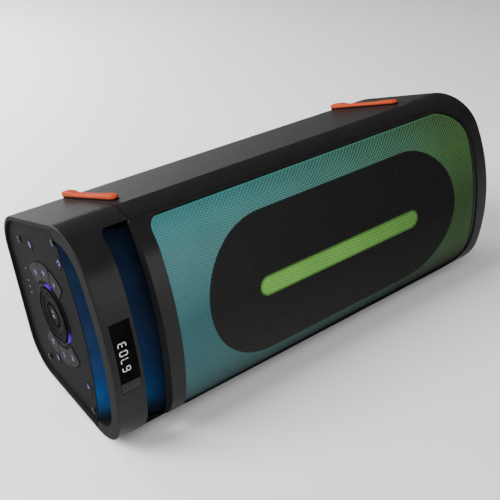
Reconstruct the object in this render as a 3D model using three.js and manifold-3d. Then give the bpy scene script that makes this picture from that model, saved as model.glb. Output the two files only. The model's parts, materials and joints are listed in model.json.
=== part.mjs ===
// Party speaker: a long cabinet that lies on its side, with a control panel on its left end,
// a see-through grip slot beside the panel and a fabric grille over two woofers.
// Millimetres, +Z up, front towards -Y, control end towards -X, origin at the base's centre.

import * as THREE from 'three';
import { mergeVertices } from 'three/addons/utils/BufferGeometryUtils.js';
import Module from 'manifold-3d';

const wasm = await Module();
wasm.setup();

// ---- driving dimensions -------------------------------------------------------------------

// Cross-section of the cabinet, symmetric about its own middle plane z = 0.
const FRONT_HEIGHT = 231;
const BACK_HEIGHT = 172.3;
const DEPTH = 179.3;
const FRONT_BOW = 26.5;
const FRONT_FILLET = 50;
const BACK_FILLET = 41;
const CREASE_Y = 54;
const CREASE_RADIUS = 52;

// Lengths along X, counted from the control end.
const LENGTH = 515.5;
const END_CAP_LENGTH = 60;
const FAR_CAP_START = 450;
const END_SLANT = 0.106;
const END_BOW = 0.000526;
const END_ROUND = 7;

const WALL = 4;
const GAP = 0.3;
const FOOT_HEIGHT = 6.5;

// Grip bar and the slot behind it.
const BAR_WIDTH = 30;
const BAR_THICKNESS = 14;
const SLOT_HALF_HEIGHT = 98;
const SLOT_BACK_Y = 18;
const SLOT_BACK_RADIUS = 272;
const SLOT_BACK_SLOPE = 0.56;
const LINER_THICKNESS = 3;

// Front frame, grille and the black centre panel.
const FRAME_START = 57.3;
const FRAME_END = 498.5;
const FRAME_HALF_HEIGHT = 102.6;
const FRAME_THICKNESS = 5;
const FRAME_CORNER = 47.5;
const GRILLE_LEFT = 73.5;
const GRILLE_RIGHT = 491;
const GRILLE_HALF_HEIGHT = 99;
const GRILLE_CORNER_LEFT = 11;
const GRILLE_CORNER_RIGHT = 40;
const GRILLE_INSET = 2.2;
const GRILLE_THICKNESS = 2.5;
const WOOFER_X = [184, 381.5];
const PILL_RADIUS = 75.4;
const LIGHT_SLOT_RADIUS = 10.9;
const LIGHT_SLOT_X = [178.5, 382.5];

// Control panel on the left end.
const PANEL_X = 2.8;
const PANEL_THICKNESS = 3.5;
const RIM = 4.5;
const DIAL_Y = 92.5;
const KNOB_RADIUS = 29;
const PLAY_RADIUS = 11;
const KNOB_BORE = 14.8;
const STEM_INNER = 22;
const STEM_OUTER = 25;
const LIGHT_RING_INNER = 29.5;
const LIGHT_RING_OUTER = 33;
const KEY_INNER = 36.2;
const KEY_OUTER = 55.2;
const KEY_ANGLE = 28.4;
const KEY_CENTRES = [60, 90, 120, 240, 270, 300];
const CORNER_KEYS = [[46, 70], [114, 69], [46, -63], [116, -59.5]];
const CORNER_KEY_RADIUS = 6;
const INDICATOR_Y = 147;
const INDICATOR_Z = [33.5, 20, 13, 6];
const SCREW_PLACES = [[140, 68], [47, 90], [47, -90], [140, -68]];

// Display in the grip bar.
const DISPLAY_X = [7, 26.5];
const DISPLAY_Z = [-28.5, 30];
const SENSOR_Z = [-40, -29.5];

// Orange bumper feet across the top and the bottom.
const FOOT_X = [67.5, 441.5];
const FOOT_WIDTH = 9;
const FOOT_START = 50;
const FOOT_END = 156;
const FOOT_SLANT = THREE.MathUtils.degToRad(4.5);
const FOOT_WAIST = 4.8;

// Back of the cabinet.
const JACK_X = [120, 250];
const JACK_HALF_HEIGHT = 29;
const JACK_POCKET_DEPTH = 16;
const PORT_X = 360;
const PORT_RADIUS = 25;

// ---- section of the cabinet ------------------------------------------------------------------

const halfFront = FRONT_HEIGHT / 2;
const halfBack = BACK_HEIGHT / 2;
const slopeAngle = Math.atan2(halfFront - halfBack, DEPTH);
const frontRadius = (halfFront ** 2 + FRONT_BOW ** 2) / (2 * FRONT_BOW);
const frontCentre = new THREE.Vector2(frontRadius - FRONT_BOW, 0);
const topNormal = new THREE.Vector2(Math.sin(slopeAngle), Math.cos(slopeAngle));
const topAlong = new THREE.Vector2(Math.cos(slopeAngle), -Math.sin(slopeAngle));

// Height of the cabinet's flat top above the middle plane, at depth y.
function topHeight(y) {
  return halfFront - y * Math.tan(slopeAngle);
}

// Centre of the round that runs from the bowed front smoothly into the flat top.
function smoothCorner() {
  const onLine = new THREE.Vector2(0, halfFront).addScaledVector(topNormal, -FRONT_FILLET);
  const away = onLine.clone().sub(frontCentre);
  const along = away.dot(topAlong);
  const reach = frontRadius - FRONT_FILLET;
  const step = -along - Math.sqrt(along ** 2 - away.lengthSq() + reach ** 2);
  return onLine.addScaledVector(topAlong, step);
}

// Centre of the larger round that meets the flat top in a crease at CREASE_Y.
function creasedCorner() {
  const crease = new THREE.Vector2(CREASE_Y, topHeight(CREASE_Y));
  const reach = frontRadius - CREASE_RADIUS;
  const line = crease.clone().sub(frontCentre);
  const span = line.length();
  const along = (reach ** 2 - CREASE_RADIUS ** 2 + span ** 2) / (2 * span);
  const across = Math.sqrt(reach ** 2 - along ** 2);
  line.normalize();
  const side = new THREE.Vector2(-line.y, line.x);
  return frontCentre.clone().addScaledVector(line, along).addScaledVector(side, across);
}

// Points of an arc, without its last point.
function arcPoints(centre, radius, from, to, steps) {
  const points = [];
  for (let i = 0; i < steps; i++) {
    const angle = from + ((to - from) * i) / steps;
    const offset = new THREE.Vector2(Math.cos(angle), Math.sin(angle)).multiplyScalar(radius);
    points.push(offset.add(centre));
  }
  return points;
}

// Outline of the section in (y, z), moved inwards by `inset`.
function sectionPoints(inset, creased = false) {
  const corner = creased ? creasedCorner() : smoothCorner();
  const cornerRadius = (creased ? CREASE_RADIUS : FRONT_FILLET) - inset;
  const toCorner = corner.clone().sub(frontCentre);
  const tangentAngle = Math.atan2(toCorner.y, toCorner.x);
  let topAngle = Math.PI / 2 - slopeAngle;
  if (creased) {
    const topDistance = halfFront * topNormal.y - inset - corner.dot(topNormal);
    topAngle += Math.acos(Math.min(1, topDistance / cornerRadius));
  }
  const backRadius = BACK_FILLET - inset;
  const backY = DEPTH - BACK_FILLET;
  const backLift = (BACK_FILLET + backY * topNormal.x) / topNormal.y;
  const backCorner = new THREE.Vector2(backY, halfFront - backLift);
  const upper = [
    ...arcPoints(frontCentre, frontRadius - inset, Math.PI, tangentAngle, 7),
    ...arcPoints(corner, cornerRadius, tangentAngle, topAngle, creased ? 6 : 8),
    ...arcPoints(corner, cornerRadius, topAngle, topAngle, 1),
    ...arcPoints(backCorner, backRadius, Math.PI / 2 - slopeAngle, 0, 7),
    new THREE.Vector2(backY + backRadius, backCorner.y),
  ];
  const lower = upper.slice(1).map((point) => new THREE.Vector2(point.x, -point.y));
  return [...upper, ...lower.reverse()].reverse();
}

// ---- solids -----------------------------------------------------------------------------------

// Closed geometry to a manifold solid.
function toSolid(geometry) {
  const bare = geometry.clone();
  bare.deleteAttribute('normal');
  bare.deleteAttribute('uv');
  const merged = mergeVertices(bare, 1e-4);
  const mesh = new wasm.Mesh({
    numProp: 3,
    vertProperties: merged.attributes.position.array,
    triVerts: new Uint32Array(merged.index.array),
  });
  return new wasm.Manifold(mesh);
}

// Manifold solid to a geometry.
function toGeometry(solid) {
  const mesh = solid.getMesh();
  const geometry = new THREE.BufferGeometry();
  geometry.setAttribute('position', new THREE.BufferAttribute(new Float32Array(mesh.vertProperties), 3));
  geometry.setIndex(new THREE.BufferAttribute(new Uint32Array(mesh.triVerts), 1));
  return geometry;
}

const YZ_ALONG_X = new THREE.Matrix4().makeBasis(
  new THREE.Vector3(0, 1, 0),
  new THREE.Vector3(0, 0, 1),
  new THREE.Vector3(1, 0, 0),
);
const XZ_ALONG_Y = new THREE.Matrix4().makeBasis(
  new THREE.Vector3(1, 0, 0),
  new THREE.Vector3(0, 0, 1),
  new THREE.Vector3(0, -1, 0),
);

function extrude(shape, depth, matrix, curveSegments = 8) {
  const geometry = new THREE.ExtrudeGeometry(shape, { depth, bevelEnabled: false, curveSegments });
  return toSolid(geometry.applyMatrix4(matrix));
}

// Prism of a (y, z) shape between two values of x.
function prismX(shape, x0, x1, curveSegments) {
  return extrude(shape, x1 - x0, YZ_ALONG_X.clone().setPosition(x0, 0, 0), curveSegments);
}

// Prism of an (x, z) shape between two values of y.
function prismY(shape, y0, y1, curveSegments) {
  return extrude(shape, y1 - y0, XZ_ALONG_Y.clone().setPosition(0, y1, 0), curveSegments);
}

function box(x0, x1, y0, y1, z0, z1) {
  const geometry = new THREE.BoxGeometry(x1 - x0, y1 - y0, z1 - z0);
  return toSolid(geometry.translate((x0 + x1) / 2, (y0 + y1) / 2, (z0 + z1) / 2));
}

// The whole section as a prism between two values of x.
function sectionPrism(inset, x0, x1, creased) {
  return prismX(new THREE.Shape(sectionPoints(inset, creased)), x0, x1);
}

// Curved skin between two insets of the section.
function sectionSkin(inset, thickness, x0, x1, creased) {
  const outer = sectionPrism(inset, x0, x1, creased);
  return outer.subtract(sectionPrism(inset + thickness, x0 - 1, x1 + 1, creased));
}

// Solid of revolution about an axis parallel to X, through (y, z). The profile is (radius, x).
function turnedX(profile, y, z, segments = 32) {
  const points = profile.map(([radius, x]) => new THREE.Vector2(radius, x));
  const geometry = new THREE.LatheGeometry(points, segments);
  geometry.applyMatrix4(new THREE.Matrix4().makeRotationZ(-Math.PI / 2).setPosition(0, y, z));
  return outwards(geometry);
}

// Solid of revolution about an axis parallel to Y, through (x, z). The profile is (radius, y).
function turnedY(profile, x, z, segments = 32) {
  const points = profile.map(([radius, y]) => new THREE.Vector2(radius, y));
  return outwards(new THREE.LatheGeometry(points, segments).translate(x, 0, z));
}

// Turns a closed geometry's faces outwards and makes a solid of it.
function outwards(geometry) {
  geometry.deleteAttribute('normal');
  geometry.deleteAttribute('uv');
  const merged = mergeVertices(geometry, 1e-4);
  const index = merged.index.array;
  const position = merged.attributes.position;
  const corners = [new THREE.Vector3(), new THREE.Vector3(), new THREE.Vector3()];
  let volume = 0;
  const kept = [];
  for (let i = 0; i < index.length; i += 3) {
    const face = [index[i], index[i + 1], index[i + 2]];
    if (new Set(face).size === 3) {
      corners.forEach((corner, k) => corner.fromBufferAttribute(position, face[k]));
      volume += corners[0].dot(corners[1].clone().cross(corners[2]));
      kept.push(face);
    }
  }
  const triVerts = new Uint32Array(kept.flatMap((face) => (volume < 0 ? face.reverse() : face)));
  return new wasm.Manifold(new wasm.Mesh({ numProp: 3, vertProperties: position.array, triVerts }));
}

// ---- outlines -----------------------------------------------------------------------------------

// Rectangle whose left and right corners have their own radii.
function roundedRectangle(x0, x1, z0, z1, leftRadius, rightRadius = leftRadius) {
  const shape = new THREE.Shape();
  shape.moveTo(x0 + leftRadius, z0);
  shape.lineTo(x1 - rightRadius, z0);
  shape.absarc(x1 - rightRadius, z0 + rightRadius, rightRadius, -Math.PI / 2, 0);
  shape.lineTo(x1, z1 - rightRadius);
  shape.absarc(x1 - rightRadius, z1 - rightRadius, rightRadius, 0, Math.PI / 2);
  shape.lineTo(x0 + leftRadius, z1);
  shape.absarc(x0 + leftRadius, z1 - leftRadius, leftRadius, Math.PI / 2, Math.PI);
  shape.lineTo(x0, z0 + leftRadius);
  shape.absarc(x0 + leftRadius, z0 + leftRadius, leftRadius, Math.PI, 1.5 * Math.PI);
  return shape;
}

function stadium(x0, x1, radius) {
  const shape = new THREE.Shape();
  shape.absarc(x1, 0, radius, -Math.PI / 2, Math.PI / 2);
  shape.absarc(x0, 0, radius, Math.PI / 2, 1.5 * Math.PI);
  return shape;
}

function disc(x, y, radius) {
  const shape = new THREE.Shape();
  shape.absarc(x, y, radius, 0, 2 * Math.PI);
  return shape;
}

// Wedge of the ring of keys round the dial.
function keyWedge(centreDegrees, angleDegrees, inner, outer) {
  const from = THREE.MathUtils.degToRad(centreDegrees - angleDegrees / 2);
  const to = THREE.MathUtils.degToRad(centreDegrees + angleDegrees / 2);
  const shape = new THREE.Shape();
  shape.absarc(DIAL_Y, 0, outer, from, to, false);
  shape.absarc(DIAL_Y, 0, inner, to, from, true);
  return shape;
}

// Depth of the slot's back wall at height z, at the control end.
function slotBackDepth(z) {
  return SLOT_BACK_Y + SLOT_BACK_RADIUS - Math.sqrt(SLOT_BACK_RADIUS ** 2 - z ** 2);
}

// Everything in front of the slot's back wall, moved back by `offset`.
// The wall comes forward along X by SLOT_BACK_SLOPE.
function inFrontOfSlotWall(offset, x0, x1) {
  const shape = new THREE.Shape();
  const steps = 14;
  const reach = FRONT_HEIGHT;
  shape.moveTo(-reach, -reach / 2);
  for (let i = 0; i <= steps; i++) {
    const z = -reach / 2 + (reach * i) / steps;
    shape.lineTo(slotBackDepth(z) + offset, z);
  }
  shape.lineTo(-reach, reach / 2);
  const geometry = new THREE.ExtrudeGeometry(shape, { depth: x1 - x0, bevelEnabled: false });
  geometry.applyMatrix4(YZ_ALONG_X.clone().setPosition(x0, 0, 0));
  const slide = new THREE.Matrix4();
  slide.elements[1] = -SLOT_BACK_SLOPE;
  return toSolid(geometry.applyMatrix4(slide));
}

// ---- the model ------------------------------------------------------------------------------------

const speaker = new THREE.Group();
const tilted = new THREE.Group();
speaker.add(tilted);

const finishes = {
  shell: { color: 0x242526, roughness: 0.55, metalness: 0 },
  gloss: { color: 0x0b0b0c, roughness: 0.12, metalness: 0 },
  teal: { color: 0x3a8a88, roughness: 0.8, metalness: 0 },
  black: { color: 0x101112, roughness: 0.85, metalness: 0 },
  orange: { color: 0xd65a34, roughness: 0.6, metalness: 0 },
  green: { color: 0x8fc93a, roughness: 0.6, metalness: 0 },
  blue: { color: 0x0b3a70, roughness: 0.4, metalness: 0 },
  purple: { color: 0x6a3be0, roughness: 0.4, metalness: 0 },
  board: { color: 0x1f5a36, roughness: 0.6, metalness: 0.1 },
  steel: { color: 0x8c9094, roughness: 0.35, metalness: 0.9 },
  paper: { color: 0x1a1a1c, roughness: 0.9, metalness: 0 },
  white: { color: 0xe8ecf4, roughness: 0.5, metalness: 0 },
};

function addNode(name, solid, finish) {
  const mesh = new THREE.Mesh(toGeometry(solid), new THREE.MeshStandardMaterial(finishes[finish]));
  mesh.name = name;
  tilted.add(mesh);
  return mesh;
}

// -- control end cap with the grip bar

function displayPocket() {
  const [x0, x1] = DISPLAY_X;
  return box(x0 - GAP, x1 + GAP, -FRONT_BOW - 2, -17.5, SENSOR_Z[0] - GAP, DISPLAY_Z[1] + GAP);
}

// Screw post with a rib that ties it to the shell.
function screwBoss([y, z]) {
  const front = PANEL_X + PANEL_THICKNESS + GAP;
  const back = END_CAP_LENGTH - 2;
  const post = prismX(disc(y, z, 6.5), front, back, 5);
  const outside = Math.sign(z) * FRONT_HEIGHT;
  const rib = box(front, back, y - 2, y + 2, Math.min(z, outside), Math.max(z, outside));
  return post.add(rib).subtract(prismX(disc(y, z, 1.9), 0, 22, 5));
}

// Frame of a foot: across it, along the flat top and out of it. The feet stand at a slight slant.
function footFrame(x, flip) {
  const middle = (FOOT_START + FOOT_END) / 2;
  const matrix = new THREE.Matrix4().makeTranslation(x, 0, halfFront)
    .multiply(new THREE.Matrix4().makeRotationX(-slopeAngle))
    .multiply(new THREE.Matrix4().makeTranslation(0, middle, 0))
    .multiply(new THREE.Matrix4().makeRotationZ(FOOT_SLANT))
    .multiply(new THREE.Matrix4().makeTranslation(0, -middle, 0));
  if (!flip) {
    return matrix;
  }
  const turnOver = new THREE.Matrix4().makeRotationY(Math.PI);
  const backAcross = new THREE.Matrix4().makeTranslation(2 * x, 0, 0);
  return backAcross.multiply(turnOver).multiply(matrix);
}

// Shallow seat for a foot, slightly larger than the foot, in the flat top.
function footSeat(x, flip) {
  const margin = 1.3;
  const half = FOOT_WIDTH / 2 + margin;
  const outline = new THREE.Shape();
  outline.absarc(0, FOOT_START + FOOT_WIDTH / 2, half, Math.PI, 2 * Math.PI);
  outline.absarc(0, FOOT_END - FOOT_WIDTH / 2, half, 0, Math.PI);
  const geometry = new THREE.ExtrudeGeometry(outline, { depth: 8, bevelEnabled: false, curveSegments: 5 });
  return toSolid(geometry.translate(0, 0, -1.4).applyMatrix4(footFrame(x, flip)));
}

function controlEndCap() {
  const outer = sectionPrism(0, 0, END_CAP_LENGTH);
  const room = sectionPrism(RIM, -1, END_CAP_LENGTH + 1);
  const forward = inFrontOfSlotWall(0, -2, END_CAP_LENGTH + 2);
  const slotBand = box(-1, END_CAP_LENGTH + 1, -40, 60, -SLOT_HALF_HEIGHT, SLOT_HALF_HEIGHT);
  const behindBar = sectionPrism(BAR_THICKNESS, -1, END_CAP_LENGTH + 1).intersect(slotBand);
  const openFront = roundedRectangle(
    BAR_WIDTH, END_CAP_LENGTH + 40, -FRAME_HALF_HEIGHT - GAP, FRAME_HALF_HEIGHT + GAP, 6);
  const mouth = prismY(openFront, -60, 26, 3);
  const bosses = SCREW_PLACES.map(screwBoss).reduce((all, boss) => all.add(boss));
  const roomBehindWall = room.subtract(forward).subtract(bosses);
  return outer
    .subtract(roomBehindWall)
    .subtract(behindBar.intersect(inFrontOfSlotWall(0.1, -2, END_CAP_LENGTH + 2)))
    .subtract(mouth)
    .subtract(displayPocket())
    .subtract(footSeat(FOOT_X[0], false))
    .subtract(footSeat(FOOT_X[0], true));
}

addNode('control_end_cap', controlEndCap(), 'shell');

function slotLiner() {
  const x1 = FRAME_START - GAP;
  const slab = inFrontOfSlotWall(LINER_THICKNESS + GAP, 0.6, x1).subtract(inFrontOfSlotWall(GAP, -5, 80));
  const fit = sectionPrism(RIM + GAP, -1, END_CAP_LENGTH + 1);
  const heightLimit = box(-1, 80, -60, 80, -SLOT_HALF_HEIGHT + GAP, SLOT_HALF_HEIGHT - GAP);
  return slab.intersect(fit).intersect(heightLimit);
}

addNode('slot_liner', slotLiner(), 'blue');

// Blue light bar that shines through the liner from behind.
addNode('slot_light_bar', box(12, 16, 26, 30, -70, 70), 'blue');

function displayPiece(z0, z1, inset, thickness) {
  const [x0, x1] = DISPLAY_X;
  return sectionSkin(inset, thickness, x0, x1).intersect(box(x0, x1, -60, 0, z0, z1));
}

addNode('display_window', displayPiece(DISPLAY_Z[0], DISPLAY_Z[1], 0.1, 1.8), 'gloss');
addNode('sensor_window', displayPiece(SENSOR_Z[0], SENSOR_Z[1], 0.1, 1.8), 'paper');
addNode('display_module', box(8, 25.5, -23.2, -18.2, -24, 26), 'board');

// -- control panel, dial and keys

const panelBack = PANEL_X + PANEL_THICKNESS;

function controlPanel() {
  const through = (shape, steps) => prismX(shape, PANEL_X - 1, panelBack + 1, steps);
  const keyHole = (centre) => keyWedge(centre, KEY_ANGLE + 0.9, KEY_INNER - 0.4, KEY_OUTER + 0.5);
  const cuts = [
    through(disc(DIAL_Y, 0, LIGHT_RING_OUTER + 2 * GAP), 16),
    ...KEY_CENTRES.map((centre) => through(keyHole(centre), 3)),
    ...CORNER_KEYS.map(([y, z]) => through(disc(y, z, CORNER_KEY_RADIUS + 0.6), 6)),
    ...SCREW_PLACES.map(([y, z]) => through(disc(y, z, 2.4), 4)),
    ...INDICATOR_Z.map((z) => through(disc(INDICATOR_Y, z, 1.5), 3)),
  ];
  const plate = sectionPrism(RIM + GAP, PANEL_X, panelBack);
  return cuts
    .reduce((left, cut) => left.subtract(cut), plate)
    .subtract(inFrontOfSlotWall(LINER_THICKNESS + 2 * GAP, -5, 30));
}

addNode('control_panel', controlPanel(), 'shell');

const knobProfile = [
  [KNOB_BORE, 0.9],
  [KNOB_BORE + 2.5, 1.6],
  [KNOB_RADIUS - 5, 1.2],
  [KNOB_RADIUS - 1.2, 0.4],
  [KNOB_RADIUS, 1.2],
  [KNOB_RADIUS, 6],
  [STEM_OUTER, 6],
  [STEM_OUTER, 9],
  [STEM_INNER, 9],
  [STEM_INNER, 4],
  [KNOB_BORE, 4],
  [KNOB_BORE, 0.9],
];
addNode('volume_knob', turnedX(knobProfile, DIAL_Y, 0, 36), 'gloss');

const lightRingProfile = [
  [LIGHT_RING_INNER, 1.8], [LIGHT_RING_OUTER, 1.8], [LIGHT_RING_OUTER, 7], [LIGHT_RING_INNER, 7],
  [LIGHT_RING_INNER, 1.8],
];
addNode('knob_light_ring', turnedX(lightRingProfile, DIAL_Y, 0, 36), 'purple');

const playProfile = [
  [0, 1],
  [PLAY_RADIUS - 1, 1.3],
  [PLAY_RADIUS, 2],
  [PLAY_RADIUS, 5],
  [8, 5.6],
  [8, 13],
  [0, 13],
];
addNode('play_button', turnedX(playProfile, DIAL_Y, 0, 24), 'gloss');

const encoderProfile = [
  [STEM_INNER - 4, 9.4],
  [STEM_OUTER + 1, 9.4],
  [STEM_OUTER + 1, 15],
  [STEM_INNER - 4, 15],
  [STEM_INNER - 4, 9.4],
];
addNode('rotary_encoder', turnedX(encoderProfile, DIAL_Y, 0, 16), 'steel');

// A key is its cap plus a flange behind the panel that holds it in.
KEY_CENTRES.forEach((centre, i) => {
  const cap = prismX(keyWedge(centre, KEY_ANGLE, KEY_INNER, KEY_OUTER), 2, panelBack + 1.6, 3);
  const flangeShape = keyWedge(centre, KEY_ANGLE - 1, KEY_INNER - 1.4, KEY_OUTER + 1);
  addNode(`ring_key_${i + 1}`, cap.add(prismX(flangeShape, panelBack + 0.5, panelBack + 1.6, 3)), 'gloss');
});

CORNER_KEYS.forEach(([y, z], i) => {
  const radius = CORNER_KEY_RADIUS;
  const profile = [
    [0, 2.2], [radius - 0.6, 2.2], [radius, 2.8], [radius, panelBack + 0.5], [radius + 1, panelBack + 0.5],
    [radius + 1, panelBack + 1.6], [0, panelBack + 1.6],
  ];
  addNode(`corner_key_${i + 1}`, turnedX(profile, y, z, 12), 'shell');
});

SCREW_PLACES.forEach(([y, z], i) => {
  const top = PANEL_X - 1.6;
  const seat = PANEL_X - 0.2;
  const profile = [[0, top], [3.4, top], [3.4, seat], [1.6, seat], [1.6, 18], [0, 19]];
  addNode(`panel_screw_${i + 1}`, turnedX(profile, y, z, 8), 'steel');
});

function indicatorPipe() {
  const tips = INDICATOR_Z.map((z) => prismX(disc(INDICATOR_Y, z, 1), PANEL_X + 0.1, panelBack + 2, 3));
  const bar = box(panelBack + 1, panelBack + 3, INDICATOR_Y - 2, INDICATOR_Y + 2, 3, 37);
  return tips.reduce((all, tip) => all.add(tip), bar);
}

addNode('indicator_light_pipe', indicatorPipe(), 'white');
addNode('control_board', box(20, 21.6, 66, 136, -56, 56), 'board');

// -- main cabinet

function mainCabinet() {
  const x0 = END_CAP_LENGTH + GAP;
  const x1 = FAR_CAP_START - GAP;
  let body = sectionPrism(0, x0, x1, true).subtract(sectionPrism(WALL, x0 - 1, x1 + 1, true));
  const frontOpening = FRAME_HALF_HEIGHT + GAP;
  body = body.subtract(box(x0 - 1, x1 + 1, -60, 26, -frontOpening, frontOpening));
  for (const x of FOOT_X) {
    body = body.subtract(footSeat(x, false)).subtract(footSeat(x, true));
  }
  const [j0, j1] = JACK_X;
  const half = JACK_HALF_HEIGHT;
  const floor = DEPTH - JACK_POCKET_DEPTH;
  const pocketOuter = box(j0 - 3, j1 + 3, floor - 3, DEPTH - 1, -half - 3, half + 3);
  const pocket = box(j0, j1, floor, DEPTH + 5, -half, half);
  const window = box(j0 + 6, j1 - 6, DEPTH - 40, DEPTH, -half + 8, half - 8);
  body = body.add(pocketOuter).subtract(pocket).subtract(window);
  return body.subtract(prismY(disc(PORT_X, 0, PORT_RADIUS + 4 + 3 * GAP), DEPTH - 20, DEPTH + 5, 10));
}

addNode('main_cabinet', mainCabinet(), 'shell');

// -- far end cap, with a slanted, slightly bowed end

// Closed ring-by-ring solid from section outlines at several insets.
function loftedSection(stations) {
  const rings = stations.map(({ inset }) => sectionPoints(inset));
  const count = rings[0].length;
  const positions = [];
  stations.forEach(({ x }, i) => rings[i].forEach((point) => positions.push(x, point.x, point.y)));
  const faces = [];
  for (let i = 0; i + 1 < rings.length; i++) {
    for (let k = 0; k < count; k++) {
      const next = (k + 1) % count;
      faces.push(i * count + k, i * count + next, (i + 1) * count + k);
      faces.push(i * count + next, (i + 1) * count + next, (i + 1) * count + k);
    }
  }
  const last = (rings.length - 1) * count;
  const endFaces = THREE.ShapeUtils.triangulateShape(rings[0], []);
  for (const [a, b, c] of endFaces) {
    faces.push(a, c, b);
  }
  for (const [a, b, c] of THREE.ShapeUtils.triangulateShape(rings[rings.length - 1], [])) {
    faces.push(last + a, last + b, last + c);
  }
  const geometry = new THREE.BufferGeometry();
  geometry.setAttribute('position', new THREE.BufferAttribute(new Float32Array(positions), 3));
  geometry.setIndex(faces);
  return geometry;
}

// Slants the far end towards the back and bows it a little.
function shapeFarEnd(geometry) {
  const position = geometry.attributes.position;
  for (let i = 0; i < position.count; i++) {
    const x = position.getX(i);
    const share = Math.max(0, (x - FAR_CAP_START) / (LENGTH - FAR_CAP_START));
    const pull = END_SLANT * position.getY(i) + END_BOW * position.getZ(i) ** 2;
    position.setX(i, x - share * pull);
  }
  return outwards(geometry);
}

const END_FOOT_PLACES = [[22, 55], [22, -55], [148, 55], [148, -55]];

// Turned piece that stands on the far end at (y, z), square to its slant.
function onFarEnd(profile, [y, z]) {
  const surface = LENGTH - END_SLANT * y - END_BOW * z ** 2;
  const slant = THREE.MathUtils.radToDeg(Math.atan(END_SLANT));
  return turnedX(profile, 0, 0, 12).rotate([0, 0, slant]).translate([surface, y, z]);
}

function farEndCap() {
  const round = [0, 1, 2, 3].map((i) => {
    const angle = (i * Math.PI) / 6;
    return { x: LENGTH - END_ROUND * (1 - Math.sin(angle)), inset: END_ROUND * (1 - Math.cos(angle)) };
  });
  const outer = shapeFarEnd(loftedSection([{ x: FAR_CAP_START, inset: 0 }, ...round]));
  const inner = shapeFarEnd(loftedSection([
    { x: FAR_CAP_START - 5, inset: WALL },
    { x: LENGTH - 8, inset: WALL },
    { x: LENGTH - 5, inset: WALL + 4 },
  ]));
  const opening = prismY(frameOutline(GAP), -60, 26, 6);
  const seats = END_FOOT_PLACES.map((place) => onFarEnd([[0, -1.1], [9.6, -1.1], [9.6, 6], [0, 6]], place));
  return seats.reduce((left, seat) => left.subtract(seat), outer.subtract(inner).subtract(opening))
    .subtract(footSeat(FOOT_X[1], false))
    .subtract(footSeat(FOOT_X[1], true));
}

function frameOutline(grow) {
  return roundedRectangle(
    FRAME_START - grow, FRAME_END + grow, -FRAME_HALF_HEIGHT - grow, FRAME_HALF_HEIGHT + grow,
    3 + grow, FRAME_CORNER + grow);
}

addNode('far_end_cap', farEndCap(), 'shell');

const endFootProfile = [[0, -0.7], [9, -0.7], [9, 2], [7.5, 2.6], [0, 2.6]];
END_FOOT_PLACES.forEach((place, i) => {
  addNode(`end_foot_${i + 1}`, onFarEnd(endFootProfile, place), 'black');
});

// -- front frame, grille and lights

function grilleOutline(grow) {
  return roundedRectangle(
    GRILLE_LEFT - grow, GRILLE_RIGHT + grow, -GRILLE_HALF_HEIGHT - grow, GRILLE_HALF_HEIGHT + grow,
    GRILLE_CORNER_LEFT + grow, GRILLE_CORNER_RIGHT + grow);
}

function frontFrame() {
  const skin = sectionSkin(0, FRAME_THICKNESS, FRAME_START - 5, FRAME_END + 5, true);
  const plate = skin.intersect(prismY(frameOutline(0), -60, 24, 6));
  const sideWall = sectionPrism(0, FRAME_START, FRAME_START + 3.5, true)
    .intersect(inFrontOfSlotWall(LINER_THICKNESS, 0, 80))
    .intersect(box(0, 80, -60, 24, -SLOT_HALF_HEIGHT + 2, SLOT_HALF_HEIGHT - 2));
  return plate.add(sideWall).subtract(prismY(grilleOutline(0), -60, 40, 6));
}

function frontSkin(inset, thickness) {
  return sectionSkin(inset, thickness, GRILLE_LEFT - 5, GRILLE_RIGHT + 5, true);
}

const pillOutline = (grow) => stadium(WOOFER_X[0], WOOFER_X[1], PILL_RADIUS + grow);
const lightOutline = (grow) => stadium(LIGHT_SLOT_X[0], LIGHT_SLOT_X[1], LIGHT_SLOT_RADIUS + grow);
const grilleSkin = frontSkin(GRILLE_INSET, GRILLE_THICKNESS);

addNode('front_frame', frontFrame(), 'shell');
const grille = grilleSkin.intersect(prismY(grilleOutline(-GAP), -60, 30, 6));
addNode('grille_panel', grille.subtract(prismY(pillOutline(GAP), -60, 30, 14)), 'teal');
const pill = grilleSkin.intersect(prismY(pillOutline(0), -60, 0, 14));
addNode('centre_panel', pill.subtract(prismY(lightOutline(GAP), -60, 30, 6)), 'black');
const slotLens = frontSkin(GRILLE_INSET, GRILLE_THICKNESS).intersect(prismY(lightOutline(0), -60, 0, 6));
addNode('light_slot_lens', slotLens, 'green');
addNode('slot_led_board', box(180, 380, -16.5, -15, -8, 8), 'board');

// Light guide that spreads colour behind the fabric, round the centre panel.
const guideSkin = frontSkin(GRILLE_INSET + GRILLE_THICKNESS + 0.6, 2);
const guide = guideSkin
  .intersect(prismY(grilleOutline(-8), -60, 10, 4))
  .subtract(prismY(pillOutline(-4), -60, 30, 10));
addNode('grille_light_guide', guide, 'white');

// -- drivers on the baffle

const BAFFLE_Y = [14, 20];
const DRIVER_Y = 10;
const CUTOUT_RADIUS = 64;

function baffle() {
  const outline = roundedRectangle(66, 488, -86, 86, 12);
  for (const x of WOOFER_X) {
    outline.holes.push(disc(x, 0, CUTOUT_RADIUS));
  }
  return prismY(outline, BAFFLE_Y[0], BAFFLE_Y[1], 8);
}

addNode('baffle', baffle(), 'black');

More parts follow.
